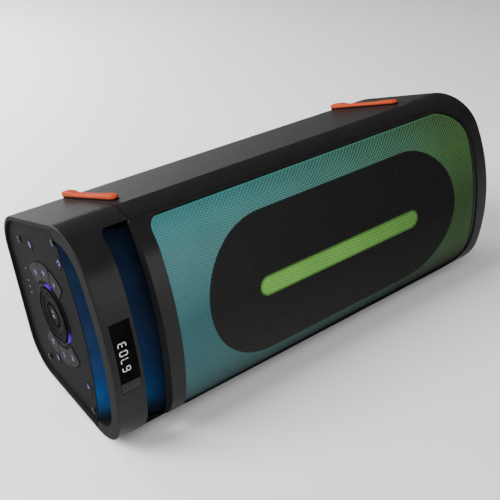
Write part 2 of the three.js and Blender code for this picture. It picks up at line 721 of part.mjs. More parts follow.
const basketProfile = [
  [68, -0.5], [68, 3.6], [62, 3.6], [62, 9], [36, 46], [36, 50], [19, 50], [19, 46], [32, 46], [32, 44],
  [60, 7], [60, -0.5], [68, -0.5],
];
const coneProfile = [
  [0, 21], [12, 23], [17, 28], [50, 3], [53, -1], [57, -2.5],
  [59, -0.5], [58.5, 0], [56.5, -1.2], [53.4, 0.6], [50.5, 5],
  [18, 30.5], [18, 53], [16.8, 53], [16.8, 30], [11.5, 25], [0, 23],
];
const magnetProfile = [
  [0, 51], [15.5, 51], [15.5, 66], [19.5, 66], [19.5, 50.6], [33, 50.6],
  [33, 56], [40, 56], [40, 74], [33, 74], [33, 80], [0, 80],
];

WOOFER_X.forEach((x, i) => {
  const side = ['left', 'right'][i];
  const place = (profile, segments) => turnedY(profile, x, 0, segments).translate([0, DRIVER_Y, 0]);
  addNode(`woofer_${side}_basket`, place(basketProfile, 20), 'steel');
  addNode(`woofer_${side}_cone`, place(coneProfile, 20), 'paper');
  addNode(`woofer_${side}_magnet`, place(magnetProfile, 16), 'steel');
});

// -- orange feet

function footSolid(x, flip) {
  const side = new THREE.Shape();
  const low = -1.1;
  side.moveTo(FOOT_START, low);
  side.lineTo(FOOT_END, low);
  side.lineTo(FOOT_END, FOOT_HEIGHT - 1.5);
  side.lineTo(FOOT_END - 1.5, FOOT_HEIGHT);
  side.lineTo(FOOT_END - 18, FOOT_HEIGHT);
  side.lineTo(FOOT_END - 24, FOOT_WAIST);
  side.lineTo(FOOT_START + 30, FOOT_WAIST);
  side.lineTo(FOOT_START + 20, FOOT_HEIGHT);
  side.lineTo(FOOT_START + 5, FOOT_HEIGHT);
  side.lineTo(FOOT_START, FOOT_HEIGHT - 3);
  const depth = FOOT_WIDTH;
  const geometry = new THREE.ExtrudeGeometry(side, { depth, bevelEnabled: false });
  geometry.applyMatrix4(YZ_ALONG_X.clone().setPosition(-depth / 2, 0, 0));
  const outline = new THREE.Shape();
  outline.absarc(0, FOOT_START + depth / 2, depth / 2, Math.PI, 2 * Math.PI);
  outline.absarc(0, FOOT_END - depth / 2, depth / 2, 0, Math.PI);
  const plan = new THREE.ExtrudeGeometry(outline, { depth: 20, bevelEnabled: false, curveSegments: 5 });
  const matrix = footFrame(x, flip);
  const planSolid = toSolid(plan.translate(0, 0, -8).applyMatrix4(matrix));
  return toSolid(geometry.applyMatrix4(matrix)).intersect(planSolid);
}

FOOT_X.forEach((x, i) => {
  const side = ['left', 'right'][i];
  addNode(`top_bumper_${side}`, footSolid(x, false), 'orange');
  addNode(`bottom_foot_${side}`, footSolid(x, true), 'orange');
});

// -- back: connector pocket, its cover, and the bass port

const jackFloor = DEPTH - JACK_POCKET_DEPTH;
const SOCKETS = [
  { name: 'microphone_socket', x: 160, hole: 3.3, radius: 7 },
  { name: 'aux_socket', x: 192, hole: 1.9, radius: 5 },
];

function jackPanel() {
  const [j0, j1] = JACK_X;
  const outline = roundedRectangle(j0 + 1, j1 - 1, -JACK_HALF_HEIGHT + 1, JACK_HALF_HEIGHT - 1, 3);
  for (const { x, radius } of SOCKETS) {
    outline.holes.push(disc(x, 0, radius + 3 * GAP));
  }
  outline.holes.push(roundedRectangle(201.7, 216.3, -4.3, 4.3, 0.5));
  outline.holes.push(roundedRectangle(220.6, 243.4, -8.4, 8.4, 0.5));
  return prismY(outline, jackFloor + GAP, jackFloor + 2.5, 4);
}

addNode('jack_panel', jackPanel(), 'shell');

for (const { name, x, hole, radius } of SOCKETS) {
  const front = jackFloor + 3.5;
  const back = front - 20;
  const holeEnd = front - 16;
  const profile = [
    [hole, front],
    [radius, front],
    [radius, back],
    [0, back],
    [0, holeEnd],
    [hole, holeEnd],
    [hole, front],
  ];
  addNode(name, turnedY(profile, x, 0, 12), 'black');
}

function socketBox(x0, x1, half, wall) {
  const front = jackFloor + 3;
  const body = box(x0, x1, front - 18, front, -half, half);
  return body.subtract(box(x0 + wall, x1 - wall, front - 14, front + 1, -half + wall, half - wall));
}

addNode('usb_socket', socketBox(202, 216, 4, 1), 'steel');
addNode('power_inlet', socketBox(221, 243, 8, 2), 'black');

function rodAlongX(x0, x1, y, z, radius) {
  return prismX(disc(y, z, radius), x0, x1, 5);
}

// Rubber cover over the connectors, hinged along its upper edge.
function jackCover() {
  const [j0, j1] = JACK_X;
  const outline = roundedRectangle(j0 + 0.6, j1 - 0.6, -JACK_HALF_HEIGHT + 0.6, JACK_HALF_HEIGHT - 4.4, 3);
  const plate = prismY(outline, DEPTH - 3.2, DEPTH - 0.2, 3);
  const tab = prismY(disc((j0 + j1) / 2, -JACK_HALF_HEIGHT + 6, 5), DEPTH - 1, DEPTH - 0.2, 6);
  const barrel = rodAlongX(j0 + 1, j1 - 1, DEPTH - 2, JACK_HALF_HEIGHT - 2.6, 1.6);
  const web = box(j0 + 4, j1 - 4, DEPTH - 3, DEPTH - 1, JACK_HALF_HEIGHT - 5, JACK_HALF_HEIGHT - 3);
  return plate.add(tab).add(barrel).add(web);
}

addNode('jack_cover', jackCover(), 'black');

const portProfile = [
  [PORT_RADIUS - 4, 100],
  [PORT_RADIUS - 1, 100],
  [PORT_RADIUS - 1, DEPTH - 6],
  [PORT_RADIUS + 4, DEPTH - 3],
  [PORT_RADIUS + 4, DEPTH - 0.4],
  [PORT_RADIUS + 1, DEPTH - 0.4],
  [PORT_RADIUS - 4, DEPTH - 10],
  [PORT_RADIUS - 4, 100],
];
addNode('bass_port', turnedY(portProfile, PORT_X, 0, 20), 'black');

// -- electronics

addNode('battery_pack', box(100, 240, 100, 138, -60, -16), 'blue');
addNode('amplifier_board', box(100, 240, 112, 113.6, 0, 66), 'board');
addNode('power_supply', box(262, 322, 100, 146, -50, 30), 'steel');

// ---- placing ------------------------------------------------------------------------------------------

// The speaker lies on its slanted lower side, so the section leans back by the slope of that side.
tilted.rotation.x = -slopeAngle;
speaker.updateMatrixWorld(true);
const bounds = new THREE.Box3().setFromObject(tilted, true);
const centre = bounds.getCenter(new THREE.Vector3());
tilted.position.set(-centre.x, -centre.y, -bounds.min.z);

export default speaker;
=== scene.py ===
"""Looks of the party speaker. Shapes are drawn in millimetres in the section's own frame: x from the
control end to the far end, y back from the front's virtual corners, z up from the middle plane."""

import json
import math
from functools import partial

import bmesh
import bpy
import numpy as np
from mathutils import Matrix, Vector


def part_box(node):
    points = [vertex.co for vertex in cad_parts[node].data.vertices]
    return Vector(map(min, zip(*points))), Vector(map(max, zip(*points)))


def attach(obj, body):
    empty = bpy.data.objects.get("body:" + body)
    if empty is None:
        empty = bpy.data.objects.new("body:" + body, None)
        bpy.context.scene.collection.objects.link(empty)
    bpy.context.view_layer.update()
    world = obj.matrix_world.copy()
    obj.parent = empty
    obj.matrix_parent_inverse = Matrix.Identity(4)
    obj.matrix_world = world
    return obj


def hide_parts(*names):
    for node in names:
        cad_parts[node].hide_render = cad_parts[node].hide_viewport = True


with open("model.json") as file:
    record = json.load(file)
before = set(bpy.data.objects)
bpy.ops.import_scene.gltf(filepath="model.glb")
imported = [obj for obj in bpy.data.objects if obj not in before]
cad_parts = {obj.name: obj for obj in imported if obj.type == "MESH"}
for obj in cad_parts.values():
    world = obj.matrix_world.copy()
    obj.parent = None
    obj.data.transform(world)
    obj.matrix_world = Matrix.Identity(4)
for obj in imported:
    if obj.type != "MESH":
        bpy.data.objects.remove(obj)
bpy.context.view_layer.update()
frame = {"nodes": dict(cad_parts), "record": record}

# ---- dimensions, as in the CAD ------------------------------------------------------------------

FRONT_HEIGHT, BACK_HEIGHT, DEPTH, FRONT_BOW = 231.0, 172.3, 179.3, 26.5
FRONT_FILLET, BACK_FILLET, CREASE_Y, CREASE_RADIUS = 50.0, 41.0, 54.0, 52.0
LENGTH, END_CAP, FAR_CAP = 515.5, 60.0, 450.0
END_SLANT, END_BOW, END_ROUND = 0.106, 0.000526, 7.0
WALL, GAP, RIM = 4.0, 0.3, 4.5
BAR_WIDTH, BAR_THICKNESS, SLOT_HALF = 30.0, 14.0, 98.0
SLOT_Y, SLOT_RADIUS, SLOT_SLOPE, LINER = 18.0, 272.0, 0.56, 3.0
FRAME_START, FRAME_END, FRAME_HALF, FRAME_CORNER = 57.3, 498.5, 102.6, 47.5
GRILLE_LEFT, GRILLE_RIGHT, GRILLE_HALF = 73.5, 491.0, 99.0
CORNER_LEFT, CORNER_RIGHT = 11.0, 40.0
FRAME = (FRAME_START, FRAME_END, FRAME_HALF, 3.0, FRAME_CORNER)
GRILLE = (GRILLE_LEFT, GRILLE_RIGHT, GRILLE_HALF, CORNER_LEFT, CORNER_RIGHT)
INSET, CLOTH = 2.2, 2.5
WOOFER_X, PILL = (184.0, 381.5), 75.4
LIGHT_X, LIGHT = (178.5, 382.5), 10.9
PANEL_X, PANEL_BACK, DIAL_Y = 2.8, 6.3, 92.5
KEY_INNER, KEY_OUTER, KEY_ANGLE, KEY_ROUND = 36.2, 55.2, 28.4, 1.2
KEY_CENTRES = (60, 90, 120, 240, 270, 300)
CORNER_KEYS = ((46, 70), (114, 69), (46, -63), (116, -59.5))
SCREWS = ((140, 68), (47, 90), (47, -90), (140, -68))
INDICATOR_Y, INDICATOR_Z = 147.0, (33.5, 20, 13, 6)
DISPLAY_X, DISPLAY_Z, SENSOR_Z = (7.0, 26.5), (-28.5, 30.0), (-40.0, -29.5)
FOOT_X, FOOT_WIDTH, FOOT_START, FOOT_END = (67.5, 441.5), 9.0, 50.0, 156.0
FOOT_SLANT = math.radians(4.5)
JACK_X, JACK_HALF, JACK_DEPTH = (120.0, 250.0), 29.0, 16.0
PORT_X, PORT_RADIUS = 360.0, 25.0
END_FEET = ((22, 55), (22, -55), (148, 55), (148, -55))

MM = 0.001
SLOPE = math.atan2((FRONT_HEIGHT - BACK_HEIGHT) / 2, DEPTH)
HALF_FRONT = FRONT_HEIGHT / 2
TURN = Matrix.Rotation(-SLOPE, 4, "X")
battery_low, battery_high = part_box("battery_pack")
BATTERY_CENTRE = Vector((0.170, 0.119, -0.038))
ORIGIN = (battery_low + battery_high) / 2 - TURN @ BATTERY_CENTRE
ROW = Matrix.Translation(ORIGIN) @ TURN @ Matrix.Scale(MM, 4)

# ---- the section --------------------------------------------------------------------------------

FRONT_RADIUS = (HALF_FRONT**2 + FRONT_BOW**2) / (2 * FRONT_BOW)
FRONT_CENTRE = np.array([FRONT_RADIUS - FRONT_BOW, 0.0])
TOP_NORMAL = np.array([math.sin(SLOPE), math.cos(SLOPE)])
TOP_ALONG = np.array([math.cos(SLOPE), -math.sin(SLOPE)])


def smooth_corner():
    point = np.array([0.0, HALF_FRONT]) - FRONT_FILLET * TOP_NORMAL
    away = point - FRONT_CENTRE
    along = away @ TOP_ALONG
    reach = FRONT_RADIUS - FRONT_FILLET
    return point + TOP_ALONG * (-along - math.sqrt(along**2 - away @ away + reach**2))


def creased_corner():
    crease = np.array([CREASE_Y, HALF_FRONT - CREASE_Y * math.tan(SLOPE)])
    reach = FRONT_RADIUS - CREASE_RADIUS
    line = crease - FRONT_CENTRE
    span = np.linalg.norm(line)
    along = (reach**2 - CREASE_RADIUS**2 + span**2) / (2 * span)
    line /= span
    side = np.array([-line[1], line[0]])
    return FRONT_CENTRE + line * along + side * math.sqrt(reach**2 - along**2)


def arc(centre, radius, start, end, steps, whole=False):
    """Points along an arc, without its last one unless it's asked for whole."""
    angles = np.linspace(start, end, steps + 1)[: None if whole else -1]
    return np.array(centre) + radius * np.column_stack([np.cos(angles), np.sin(angles)])


def between(a, b, steps):
    share = np.linspace(0, 1, steps + 1)[:-1, None]
    return np.array(a) * (1 - share) + np.array(b) * share


def section(inset, creased=False):
    """Closed outline of the cabinet's section in (y, z), moved inwards."""
    corner = creased_corner() if creased else smooth_corner()
    radius = (CREASE_RADIUS if creased else FRONT_FILLET) - inset
    tangent = math.atan2(corner[1] - FRONT_CENTRE[1], corner[0] - FRONT_CENTRE[0])
    top = math.pi / 2 - SLOPE
    if creased:
        distance = HALF_FRONT * TOP_NORMAL[1] - inset - corner @ TOP_NORMAL
        top += math.acos(min(1, distance / radius))
    back_y = DEPTH - BACK_FILLET
    back_z = HALF_FRONT - (BACK_FILLET + back_y * TOP_NORMAL[0]) / TOP_NORMAL[1]
    back = arc((back_y, back_z), BACK_FILLET - inset, math.pi / 2 - SLOPE, 0, 18)
    corner_end = corner + radius * np.array([math.cos(top), math.sin(top)])
    upper = np.vstack([
        arc(FRONT_CENTRE, FRONT_RADIUS - inset, math.pi, tangent, 36),
        arc(corner, radius, tangent, top, 22),
        between(corner_end, back[0], 10),
        back,
        between((DEPTH - inset, back_z), (DEPTH - inset, 0), 8),
        [(DEPTH - inset, 0)],
    ])
    lower = upper[1:-1][::-1] * (1, -1)
    return np.vstack([upper, lower])


def front_depth(z, inset):
    """Depth y of the creased section's front surface at height z."""
    corner = creased_corner()
    outer = FRONT_RADIUS - inset
    inner = CREASE_RADIUS - inset
    tangent = math.atan2(corner[1], corner[0] - FRONT_CENTRE[0])
    limit = outer * math.sin(tangent)
    height = np.abs(z)
    bow = FRONT_CENTRE[0] - np.sqrt(np.maximum(outer**2 - height**2, 0))
    round_ = corner[0] - np.sqrt(np.maximum(inner**2 - (height - corner[1]) ** 2, 0))
    return np.where(height <= limit, bow, round_)


SCALE_CENTRE = np.array([DEPTH / 2 - 8, 0.0])


def slot_depth(z):
    return SLOT_Y + SLOT_RADIUS - np.sqrt(SLOT_RADIUS**2 - z**2)


# ---- solids -------------------------------------------------------------------------------------


def placed(data):
    """An object of the same name as its data, linked to the scene."""
    made = bpy.data.objects.new(data.name, data)
    bpy.context.scene.collection.objects.link(made)
    return made


def from_bmesh(edit, mesh):
    edit.to_mesh(mesh)
    edit.free()
    return placed(mesh)


def work_object(vertices, faces):
    """A closed mesh with its faces turned outwards, not yet a piece."""
    mesh = bpy.data.meshes.new("shape")
    mesh.from_pydata([tuple(map(float, v)) for v in vertices], [], faces)
    edit = bmesh.new()
    edit.from_mesh(mesh)
    bmesh.ops.remove_doubles(edit, verts=edit.verts, dist=1e-5)
    bmesh.ops.recalc_face_normals(edit, faces=edit.faces)
    return from_bmesh(edit, mesh)


def loft(rings, ends=True):
    """Skin over closed rings of equal length. Without ends, the last ring joins the first."""
    count = len(rings[0])
    pairs = [(i, (i + 1) % len(rings)) for i in range(len(rings) - (1 if ends else 0))]
    faces = [
        (a * count + k, a * count + (k + 1) % count, b * count + (k + 1) % count, b * count + k)
        for a, b in pairs
        for k in range(count)
    ]
    if ends:
        faces.append(tuple(range(count)))
        faces.append(tuple(range((len(rings) - 1) * count, len(rings) * count)))
    return work_object(np.vstack(rings), faces)


def prism(points, axis, start, end):
    """Prism of an outline along X, from (y, z), or along Y, from (x, z)."""
    flat = np.array(points, dtype=float)
    return loft([np.insert(flat, "xy".index(axis), along, axis=1) for along in (start, end)])


def corners(a0, a1, b0, b1):
    return [(a0, b0), (a1, b0), (a1, b1), (a0, b1)]


def block(x0, x1, y0, y1, z0, z1):
    return prism(corners(y0, y1, z0, z1), "x", x0, x1)


def ring_at(x, inset, creased=False, scale=1.0):
    """The section's outline at x, scaled about a point near its middle."""
    flat = SCALE_CENTRE + (section(inset, creased) - SCALE_CENTRE) * scale
    return np.insert(flat, 0, x, axis=1)


def section_solid(inset, x0, x1, creased=False):
    return loft([ring_at(x, inset, creased) for x in (x0, x1)])


def turned(profile, centre, axis, steps=64):
    """Solid of revolution about a line along X, through (y, z), or along Y, through (x, z)."""
    vertices, rows = [], []
    for radius, along in profile:
        count = 1 if radius < 1e-6 else steps
        rows.append((len(vertices), count))
        for k in range(count):
            angle = 2 * math.pi * k / steps
            a, b = centre[0] + radius * math.cos(angle), centre[1] + radius * math.sin(angle)
            vertices.append((along, a, b) if axis == "x" else (a, along, b))
    faces = []
    closing_row = rows[:1] if profile[0][0] > 1e-6 else []
    for (first, n), (second, m) in zip(rows, rows[1:] + closing_row):
        for k in range(steps):
            q = (k + 1) % steps
            if n > 1 and m > 1:
                faces.append((first + k, first + q, second + q, second + k))
            elif n > 1:
                faces.append((first + k, first + q, second))
            elif m > 1:
                faces.append((first, second + q, second + k))
    return work_object(vertices, faces)


def settle(piece):
    """Applies the modifiers of a piece to its mesh."""
    graph = bpy.context.evaluated_depsgraph_get()
    mesh = bpy.data.meshes.new_from_object(piece.evaluated_get(graph), depsgraph=graph)
    piece.modifiers.clear()
    piece.data = mesh


def combine(operation, base, *tools):
    for tool in tools:
        modifier = base.modifiers.new("combine", "BOOLEAN")
        modifier.object = tool
        modifier.operation = operation
        modifier.solver = "MANIFOLD"
        settle(base)
        bpy.data.objects.remove(tool)
    return base


cut = partial(combine, "DIFFERENCE")
keep = partial(combine, "INTERSECT")
join = partial(combine, "UNION")


def rectangle(x0, x1, z0, z1, left, right=None, steps=16):
    """Rectangle with rounded corners, of one radius on the left and one on the right."""
    right = left if right is None else right
    quarter = math.pi / 2
    turns = [
        ((x1 - right, z0 + right), right, -quarter),
        ((x1 - right, z1 - right), right, 0),
        ((x0 + left, z1 - left), left, quarter),
        ((x0 + left, z0 + left), left, 2 * quarter),
    ]
    return np.vstack([arc(c, r, a, a + quarter, steps) for c, r, a in turns])


def grown(x0, x1, half, left, right, grow=0.0):
    """Outline of the frame or the grille, moved outwards all round."""
    half += grow
    return rectangle(x0 - grow, x1 + grow, -half, half, left + grow, right + grow, 24)


def stadium(x0, x1, radius, steps=40):
    quarter = math.pi / 2
    return np.vstack([
        arc((x1, 0), radius, -quarter, quarter, steps, whole=True),
        arc((x0, 0), radius, quarter, 3 * quarter, steps, whole=True),
    ])


def disc(centre, radius, steps=48):
    return arc(centre, radius, 0, 2 * math.pi, steps)


def dial_point(radius, angle):
    return DIAL_Y + radius * math.cos(angle), radius * math.sin(angle)


def wedge(centre, angle, inner, outer, round_off=0.0):
    """Sector of a ring round the dial, in (y, z), with blunt corners if round_off isn't 0."""
    start, end = math.radians(centre - angle / 2), math.radians(centre + angle / 2)
    turn_out, turn_in = round_off / outer, round_off / inner
    radii = (outer - round_off, inner + round_off) if round_off else ()
    return np.vstack([
        arc((DIAL_Y, 0), outer, start + turn_out, end - turn_out, 14, whole=True),
        *[dial_point(radius, end) for radius in radii],
        arc((DIAL_Y, 0), inner, end - turn_in, start + turn_in, 10, whole=True),
        *[dial_point(radius, start) for radius in radii[::-1]],
    ])


def before_slot_wall(offset, x0, x1):
    """Everything in front of the grip slot's back wall, which comes forward along X."""
    z = np.linspace(-HALF_FRONT, HALF_FRONT, 49)
    y = slot_depth(z) + offset
    outline = np.vstack([[(-300, -HALF_FRONT)], np.column_stack([y, z]), [(-300, HALF_FRONT)]])
    return loft([np.insert(outline - (SLOT_SLOPE * x, 0), 0, x, axis=1) for x in (x0, x1)])


# ---- materials ----------------------------------------------------------------------------------


def is_socket(value):
    return isinstance(value, bpy.types.NodeSocket)


def feed(node, inputs):
    """Links or sets inputs of a node."""
    for key, value in inputs.items():
        if is_socket(value):
            node.id_data.links.new(value, node.inputs[key])
        else:
            node.inputs[key].default_value = value


def add_node(tree, kind, inputs=None, **settings):
    made = tree.nodes.new(kind)
    for key, value in settings.items():
        setattr(made, key, value)
    feed(made, inputs or {})
    return made


def rgba(colour):
    """Takes three levels, or one level for a grey."""
    return (*((colour,) * 3 if isinstance(colour, float) else colour), 1)


def maths(tree, operation, a, b=0.0):
    return add_node(tree, "ShaderNodeMath", {0: a, 1: b}, operation=operation).outputs[0]


def product(tree, a, b):
    return maths(tree, "MULTIPLY", a, b)


def apart(tree, a, b):
    return maths(tree, "ABSOLUTE", maths(tree, "SUBTRACT", a, b))


def ramp(tree, value, stops):
    made = add_node(tree, "ShaderNodeValToRGB", {"Fac": value})
    elements = made.color_ramp.elements
    while len(elements) < len(stops):
        elements.new(0.5)
    for element, (at, colour) in zip(elements, stops):
        element.position = at
        element.color = rgba(colour)
    return made.outputs["Color"]


def spread(tree, value, low, high, to_low=0.0, to_high=1.0, **settings):
    inputs = {"Value": value, "From Min": low, "From Max": high, "To Min": to_low, "To Max": to_high}
    return add_node(tree, "ShaderNodeMapRange", inputs, **settings).outputs["Result"]


def noise(tree, place, scale, detail):
    inputs = {"Vector": place, "Scale": scale, "Detail": detail}
    return add_node(tree, "ShaderNodeTexNoise", inputs).outputs["Fac"]


def noisy_level(tree, value, low, high):
    """A noise's middle part spread over low to high."""
    return spread(tree, value, 0.3, 0.7, low, high)


def noisy_colour(tree, value, low, high):
    return ramp(tree, value, [(0.3, low), (0.7, high)])


def mix(tree, share, *colours):
    a, b = [colour if is_socket(colour) else rgba(colour) for colour in colours]
    return add_node(tree, "ShaderNodeMix", {0: share, 6: a, 7: b}, data_type="RGBA").outputs[2]


def scaled(tree, colour, level):
    made = add_node(tree, "ShaderNodeVectorMath", {0: colour, "Scale": level}, operation="SCALE")
    return made.outputs[0]


def blank(name):
    material = bpy.data.materials.new(name)
    material.use_nodes = True
    tree = material.node_tree
    return material, tree, tree.nodes["Principled BSDF"]


def shade(shader, **values):
    """Feeds the shader's inputs, named with _ for a space."""
    feed(shader, {key.replace("_", " "): value for key, value in values.items()})


def object_place(tree):
    return add_node(tree, "ShaderNodeTexCoord").outputs["Object"]


def surface(name, low, high, roughness, scale, grain, depth, specular=0.5, broad=70.0, stretch=(1, 1, 1),
            uneven=0.06, **shader_values):
    """Moulded, painted or printed surface: colour drifts from low to high, with a fine grain."""
    material, tree, shader = blank(name)
    inputs = {"Vector": object_place(tree), "Scale": stretch}
    mapped = add_node(tree, "ShaderNodeMapping", inputs).outputs["Vector"]
    fine = noise(tree, mapped, scale, 3.0)
    bump = {"Strength": grain, "Distance": depth * MM, "Height": fine}
    shade(
        shader,
        Base_Color=noisy_colour(tree, noise(tree, mapped, broad, 6.0), low, high),
        Roughness=noisy_level(tree, fine, roughness - uneven, roughness + uneven),
        Normal=add_node(tree, "ShaderNodeBump", bump).outputs["Normal"],
        Specular_IOR_Level=specular,
        **shader_values,
    )
    return material


def facing_ends(tree):
    """1 on faces square to the speaker's length, 0 on the others."""
    normal = add_node(tree, "ShaderNodeNewGeometry").outputs["Normal"]
    along = add_node(tree, "ShaderNodeSeparateXYZ", {"Vector": normal}).outputs["X"]
    return spread(tree, maths(tree, "ABSOLUTE", along), 0.6, 0.9)


def section_place(tree):
    """X, Y and Z in the section's frame, in millimetres, and the three as one vector."""
    inputs = {"Location": ORIGIN, "Rotation": (-SLOPE, 0, 0), "Scale": (MM, MM, MM)}
    inputs["Vector"] = object_place(tree)
    mapped = add_node(tree, "ShaderNodeMapping", inputs, vector_type="TEXTURE").outputs["Vector"]
    return add_node(tree, "ShaderNodeSeparateXYZ", {"Vector": mapped}).outputs, mapped


# Near-black colour of the painted shade in the seams beside both end caps.
SEAM_SHADE_COLOUR, END_ROUGHNESS = 0.0015, 0.95


def moulded_housing():
    """Housing plastic, matt on its end faces, and matt and darkened by painted shade in its seams."""
    low, high = (0.0075, 0.0075, 0.0077), (0.0100, 0.0099, 0.0099)
    material = surface("housing_plastic", low, high, 0.42, 1100, 0.35, 0.05, 0.13)
    tree = material.node_tree
    shader = tree.nodes["Principled BSDF"]
    place, _ = section_place(tree)
    clear = 1.0
    for seam in (END_CAP, FAR_CAP):
        clear = product(tree, spread(tree, apart(tree, place[0], seam), 0.4, 1.3), clear)
    matt = maths(tree, "MAXIMUM", facing_ends(tree), maths(tree, "SUBTRACT", 1.0, clear))
    plain, rough = (shader.inputs[key].links[0].from_socket for key in ("Base Color", "Roughness"))
    added = product(tree, matt, maths(tree, "SUBTRACT", END_ROUGHNESS, rough))
    # Painted shade: the colour goes near black within about a millimetre of each seam.
    painted_seam_shade = mix(tree, clear, SEAM_SHADE_COLOUR, plain)
    shade(shader, Base_Color=painted_seam_shade, Roughness=maths(tree, "ADD", rough, added))
    return material


def rubber_with_painted_base_shade():
    """Orange rubber, darkened by painted shade where it meets the seat."""
    low, high = (0.36, 0.045, 0.014), (0.46, 0.058, 0.018)
    material = surface("orange_rubber", low, high, 0.6, 1200, 0.3, 0.05, 0.08)
    tree = material.node_tree
    shader = tree.nodes["Principled BSDF"]
    place, _ = section_place(tree)
    rise = product(tree, maths(tree, "ABSOLUTE", place[2]), math.cos(SLOPE))
    rise = maths(tree, "ADD", rise, product(tree, place[1], math.sin(SLOPE)))
    top = HALF_FRONT * math.cos(SLOPE)
    orange = shader.inputs["Base Color"].links[0].from_socket
    # Painted shade: near black up to 1.2 mm above the top face, turning orange by 2.6 mm.
    above = spread(tree, rise, top + 1.2, top + 2.6)
    shade(shader, Base_Color=mix(tree, above, (0.008, 0.005, 0.004), orange))
    return material


def inside_stadium(tree, place, x0, x1, radius, soft):
    """1 inside a stadium on the front, 0 outside."""
    away = apart(tree, place[0], (x0 + x1) / 2)
    along = maths(tree, "MAXIMUM", maths(tree, "SUBTRACT", away, (x1 - x0) / 2))
    squares = [product(tree, value, value) for value in (along, place[2])]
    distance = maths(tree, "SQRT", maths(tree, "ADD", *squares))
    return spread(tree, distance, radius - soft, radius + soft, 1.0, 0.0)


LEFT_GLOW = [
    (-99, (0.022, 0.03, 0.032)), (-85, (0.038, 0.07, 0.077)), (-60, (0.05, 0.13, 0.14)),
    (0, (0.04, 0.128, 0.14)), (60, (0.08, 0.22, 0.23)), (85, (0.065, 0.24, 0.25)),
    (99, (0.04, 0.19, 0.2)),
]
RIGHT_GLOW = [
    (-99, (0.015, 0.019, 0.013)), (-80, (0.031, 0.041, 0.024)), (-60, (0.039, 0.076, 0.032)),
    (0, (0.029, 0.064, 0.02)), (60, (0.045, 0.109, 0.03)), (99, (0.032, 0.082, 0.024)),
]


def cloth_glow(tree, place):
    """Colour of the lit cloth, from blue-green on the left to green on the right."""
    height = spread(tree, place[2], -100, 100)
    sides = [
        ramp(tree, height, [((z + 100) / 200, colour) for z, colour in stops])
        for stops in (LEFT_GLOW, RIGHT_GLOW)
    ]
    return mix(tree, spread(tree, place[0], 85, 460), *sides)


def centre_painted_light(tree, place):
    """Emission of the black centre, painted light: a little lighter on the left and low down."""
    along = spread(tree, place[0], 110, 420)
    black = mix(tree, along, (0.0125, 0.0118, 0.0115), (0.0045, 0.004, 0.004))
    return mix(tree, spread(tree, place[2], 0, -75, 0.0, 0.5), black, (0.036, 0.036, 0.033))


def slot_glow(tree, place):
    """Green light of the slot, darker round its edge."""
    slot = mix(tree, spread(tree, place[0], 270, 400), (0.155, 0.4, 0.07), (0.105, 0.262, 0.052))
    inside = inside_stadium(tree, place, *LIGHT_X, LIGHT - 1.5, 1.8)
    return mix(tree, inside, (0.02, 0.045, 0.012), slot)


def net_glow(tree, place):
    """The three colours behind the net, each over its own part; over the black centre it is painted
    light.
    """
    in_pill = inside_stadium(tree, place, *WOOFER_X, PILL, 0.6)
    in_slot = inside_stadium(tree, place, *LIGHT_X, LIGHT, 0.4)
    beside = mix(tree, in_pill, cloth_glow(tree, place), centre_painted_light(tree, place))
    return mix(tree, in_slot, beside, slot_glow(tree, place))


def lit_cloth(name, share, glow):
    """Cloth or net that glows by a share that changes along X: with the light behind it, and with painted
    light over the black centre.
    """
    material, tree, shader = blank(name)
    place, mapped = section_place(tree)
    patchy, threads = noise(tree, mapped, 0.02, 3.0), noise(tree, mapped, 1.4, 2.0)
    uneven = noisy_level(tree, patchy, 0.94, 1.06), noisy_level(tree, threads, 0.85, 1.15)
    level = product(tree, product(tree, *uneven), spread(tree, place[0], 90, 330, *share))
    shade(
        shader,
        Emission_Color=scaled(tree, glow(tree, place), level),
        Emission_Strength=1.0,
        Base_Color=noisy_colour(tree, threads, 0.0035, 0.009),
        Roughness=noisy_level(tree, threads, 0.7, 0.85),
        Specular_IOR_Level=0.08,
    )
    return material


def glowing(name, colour, dim, strength, base=(0.02, 0.02, 0.03)):
    """Translucent plastic lit from behind, slightly uneven."""
    material, tree, shader = blank(name)
    place = object_place(tree)
    cloud, fine = noise(tree, place, 300.0, 3.0), noise(tree, place, 1800.0, 2.0)
    shade(
        shader,
        Emission_Color=noisy_colour(tree, cloud, dim, colour),
        Emission_Strength=strength,
        Base_Color=noisy_colour(tree, fine, base, tuple(1.4 * c for c in base)),
        Roughness=noisy_level(tree, fine, 0.3, 0.4),
        Specular_IOR_Level=0.02,
    )
    return material


LINER_GLOW = [
    (0.0, (0.002, 0.003, 0.006)), (0.06, (0.004, 0.008, 0.015)), (0.13, (0.003, 0.026, 0.078)),
    (0.2, (0.003, 0.028, 0.092)), (0.3, (0.005, 0.02, 0.064)), (0.55, (0.006, 0.014, 0.036)),
    (0.8, (0.005, 0.012, 0.028)), (0.95, (0.003, 0.007, 0.016)), (1.0, (0.002, 0.002, 0.003)),
]
# Emission strength from the rim (0) to the front frame (1); its fall near the frame is painted shade of
# the frame's side wall.
LINER_FADE_AND_SHADE = [(0.0, 2.1), (0.25, 1.8), (0.5, 1.2), (0.78, 0.95), (0.9, 0.55), (1.0, 0.2)]


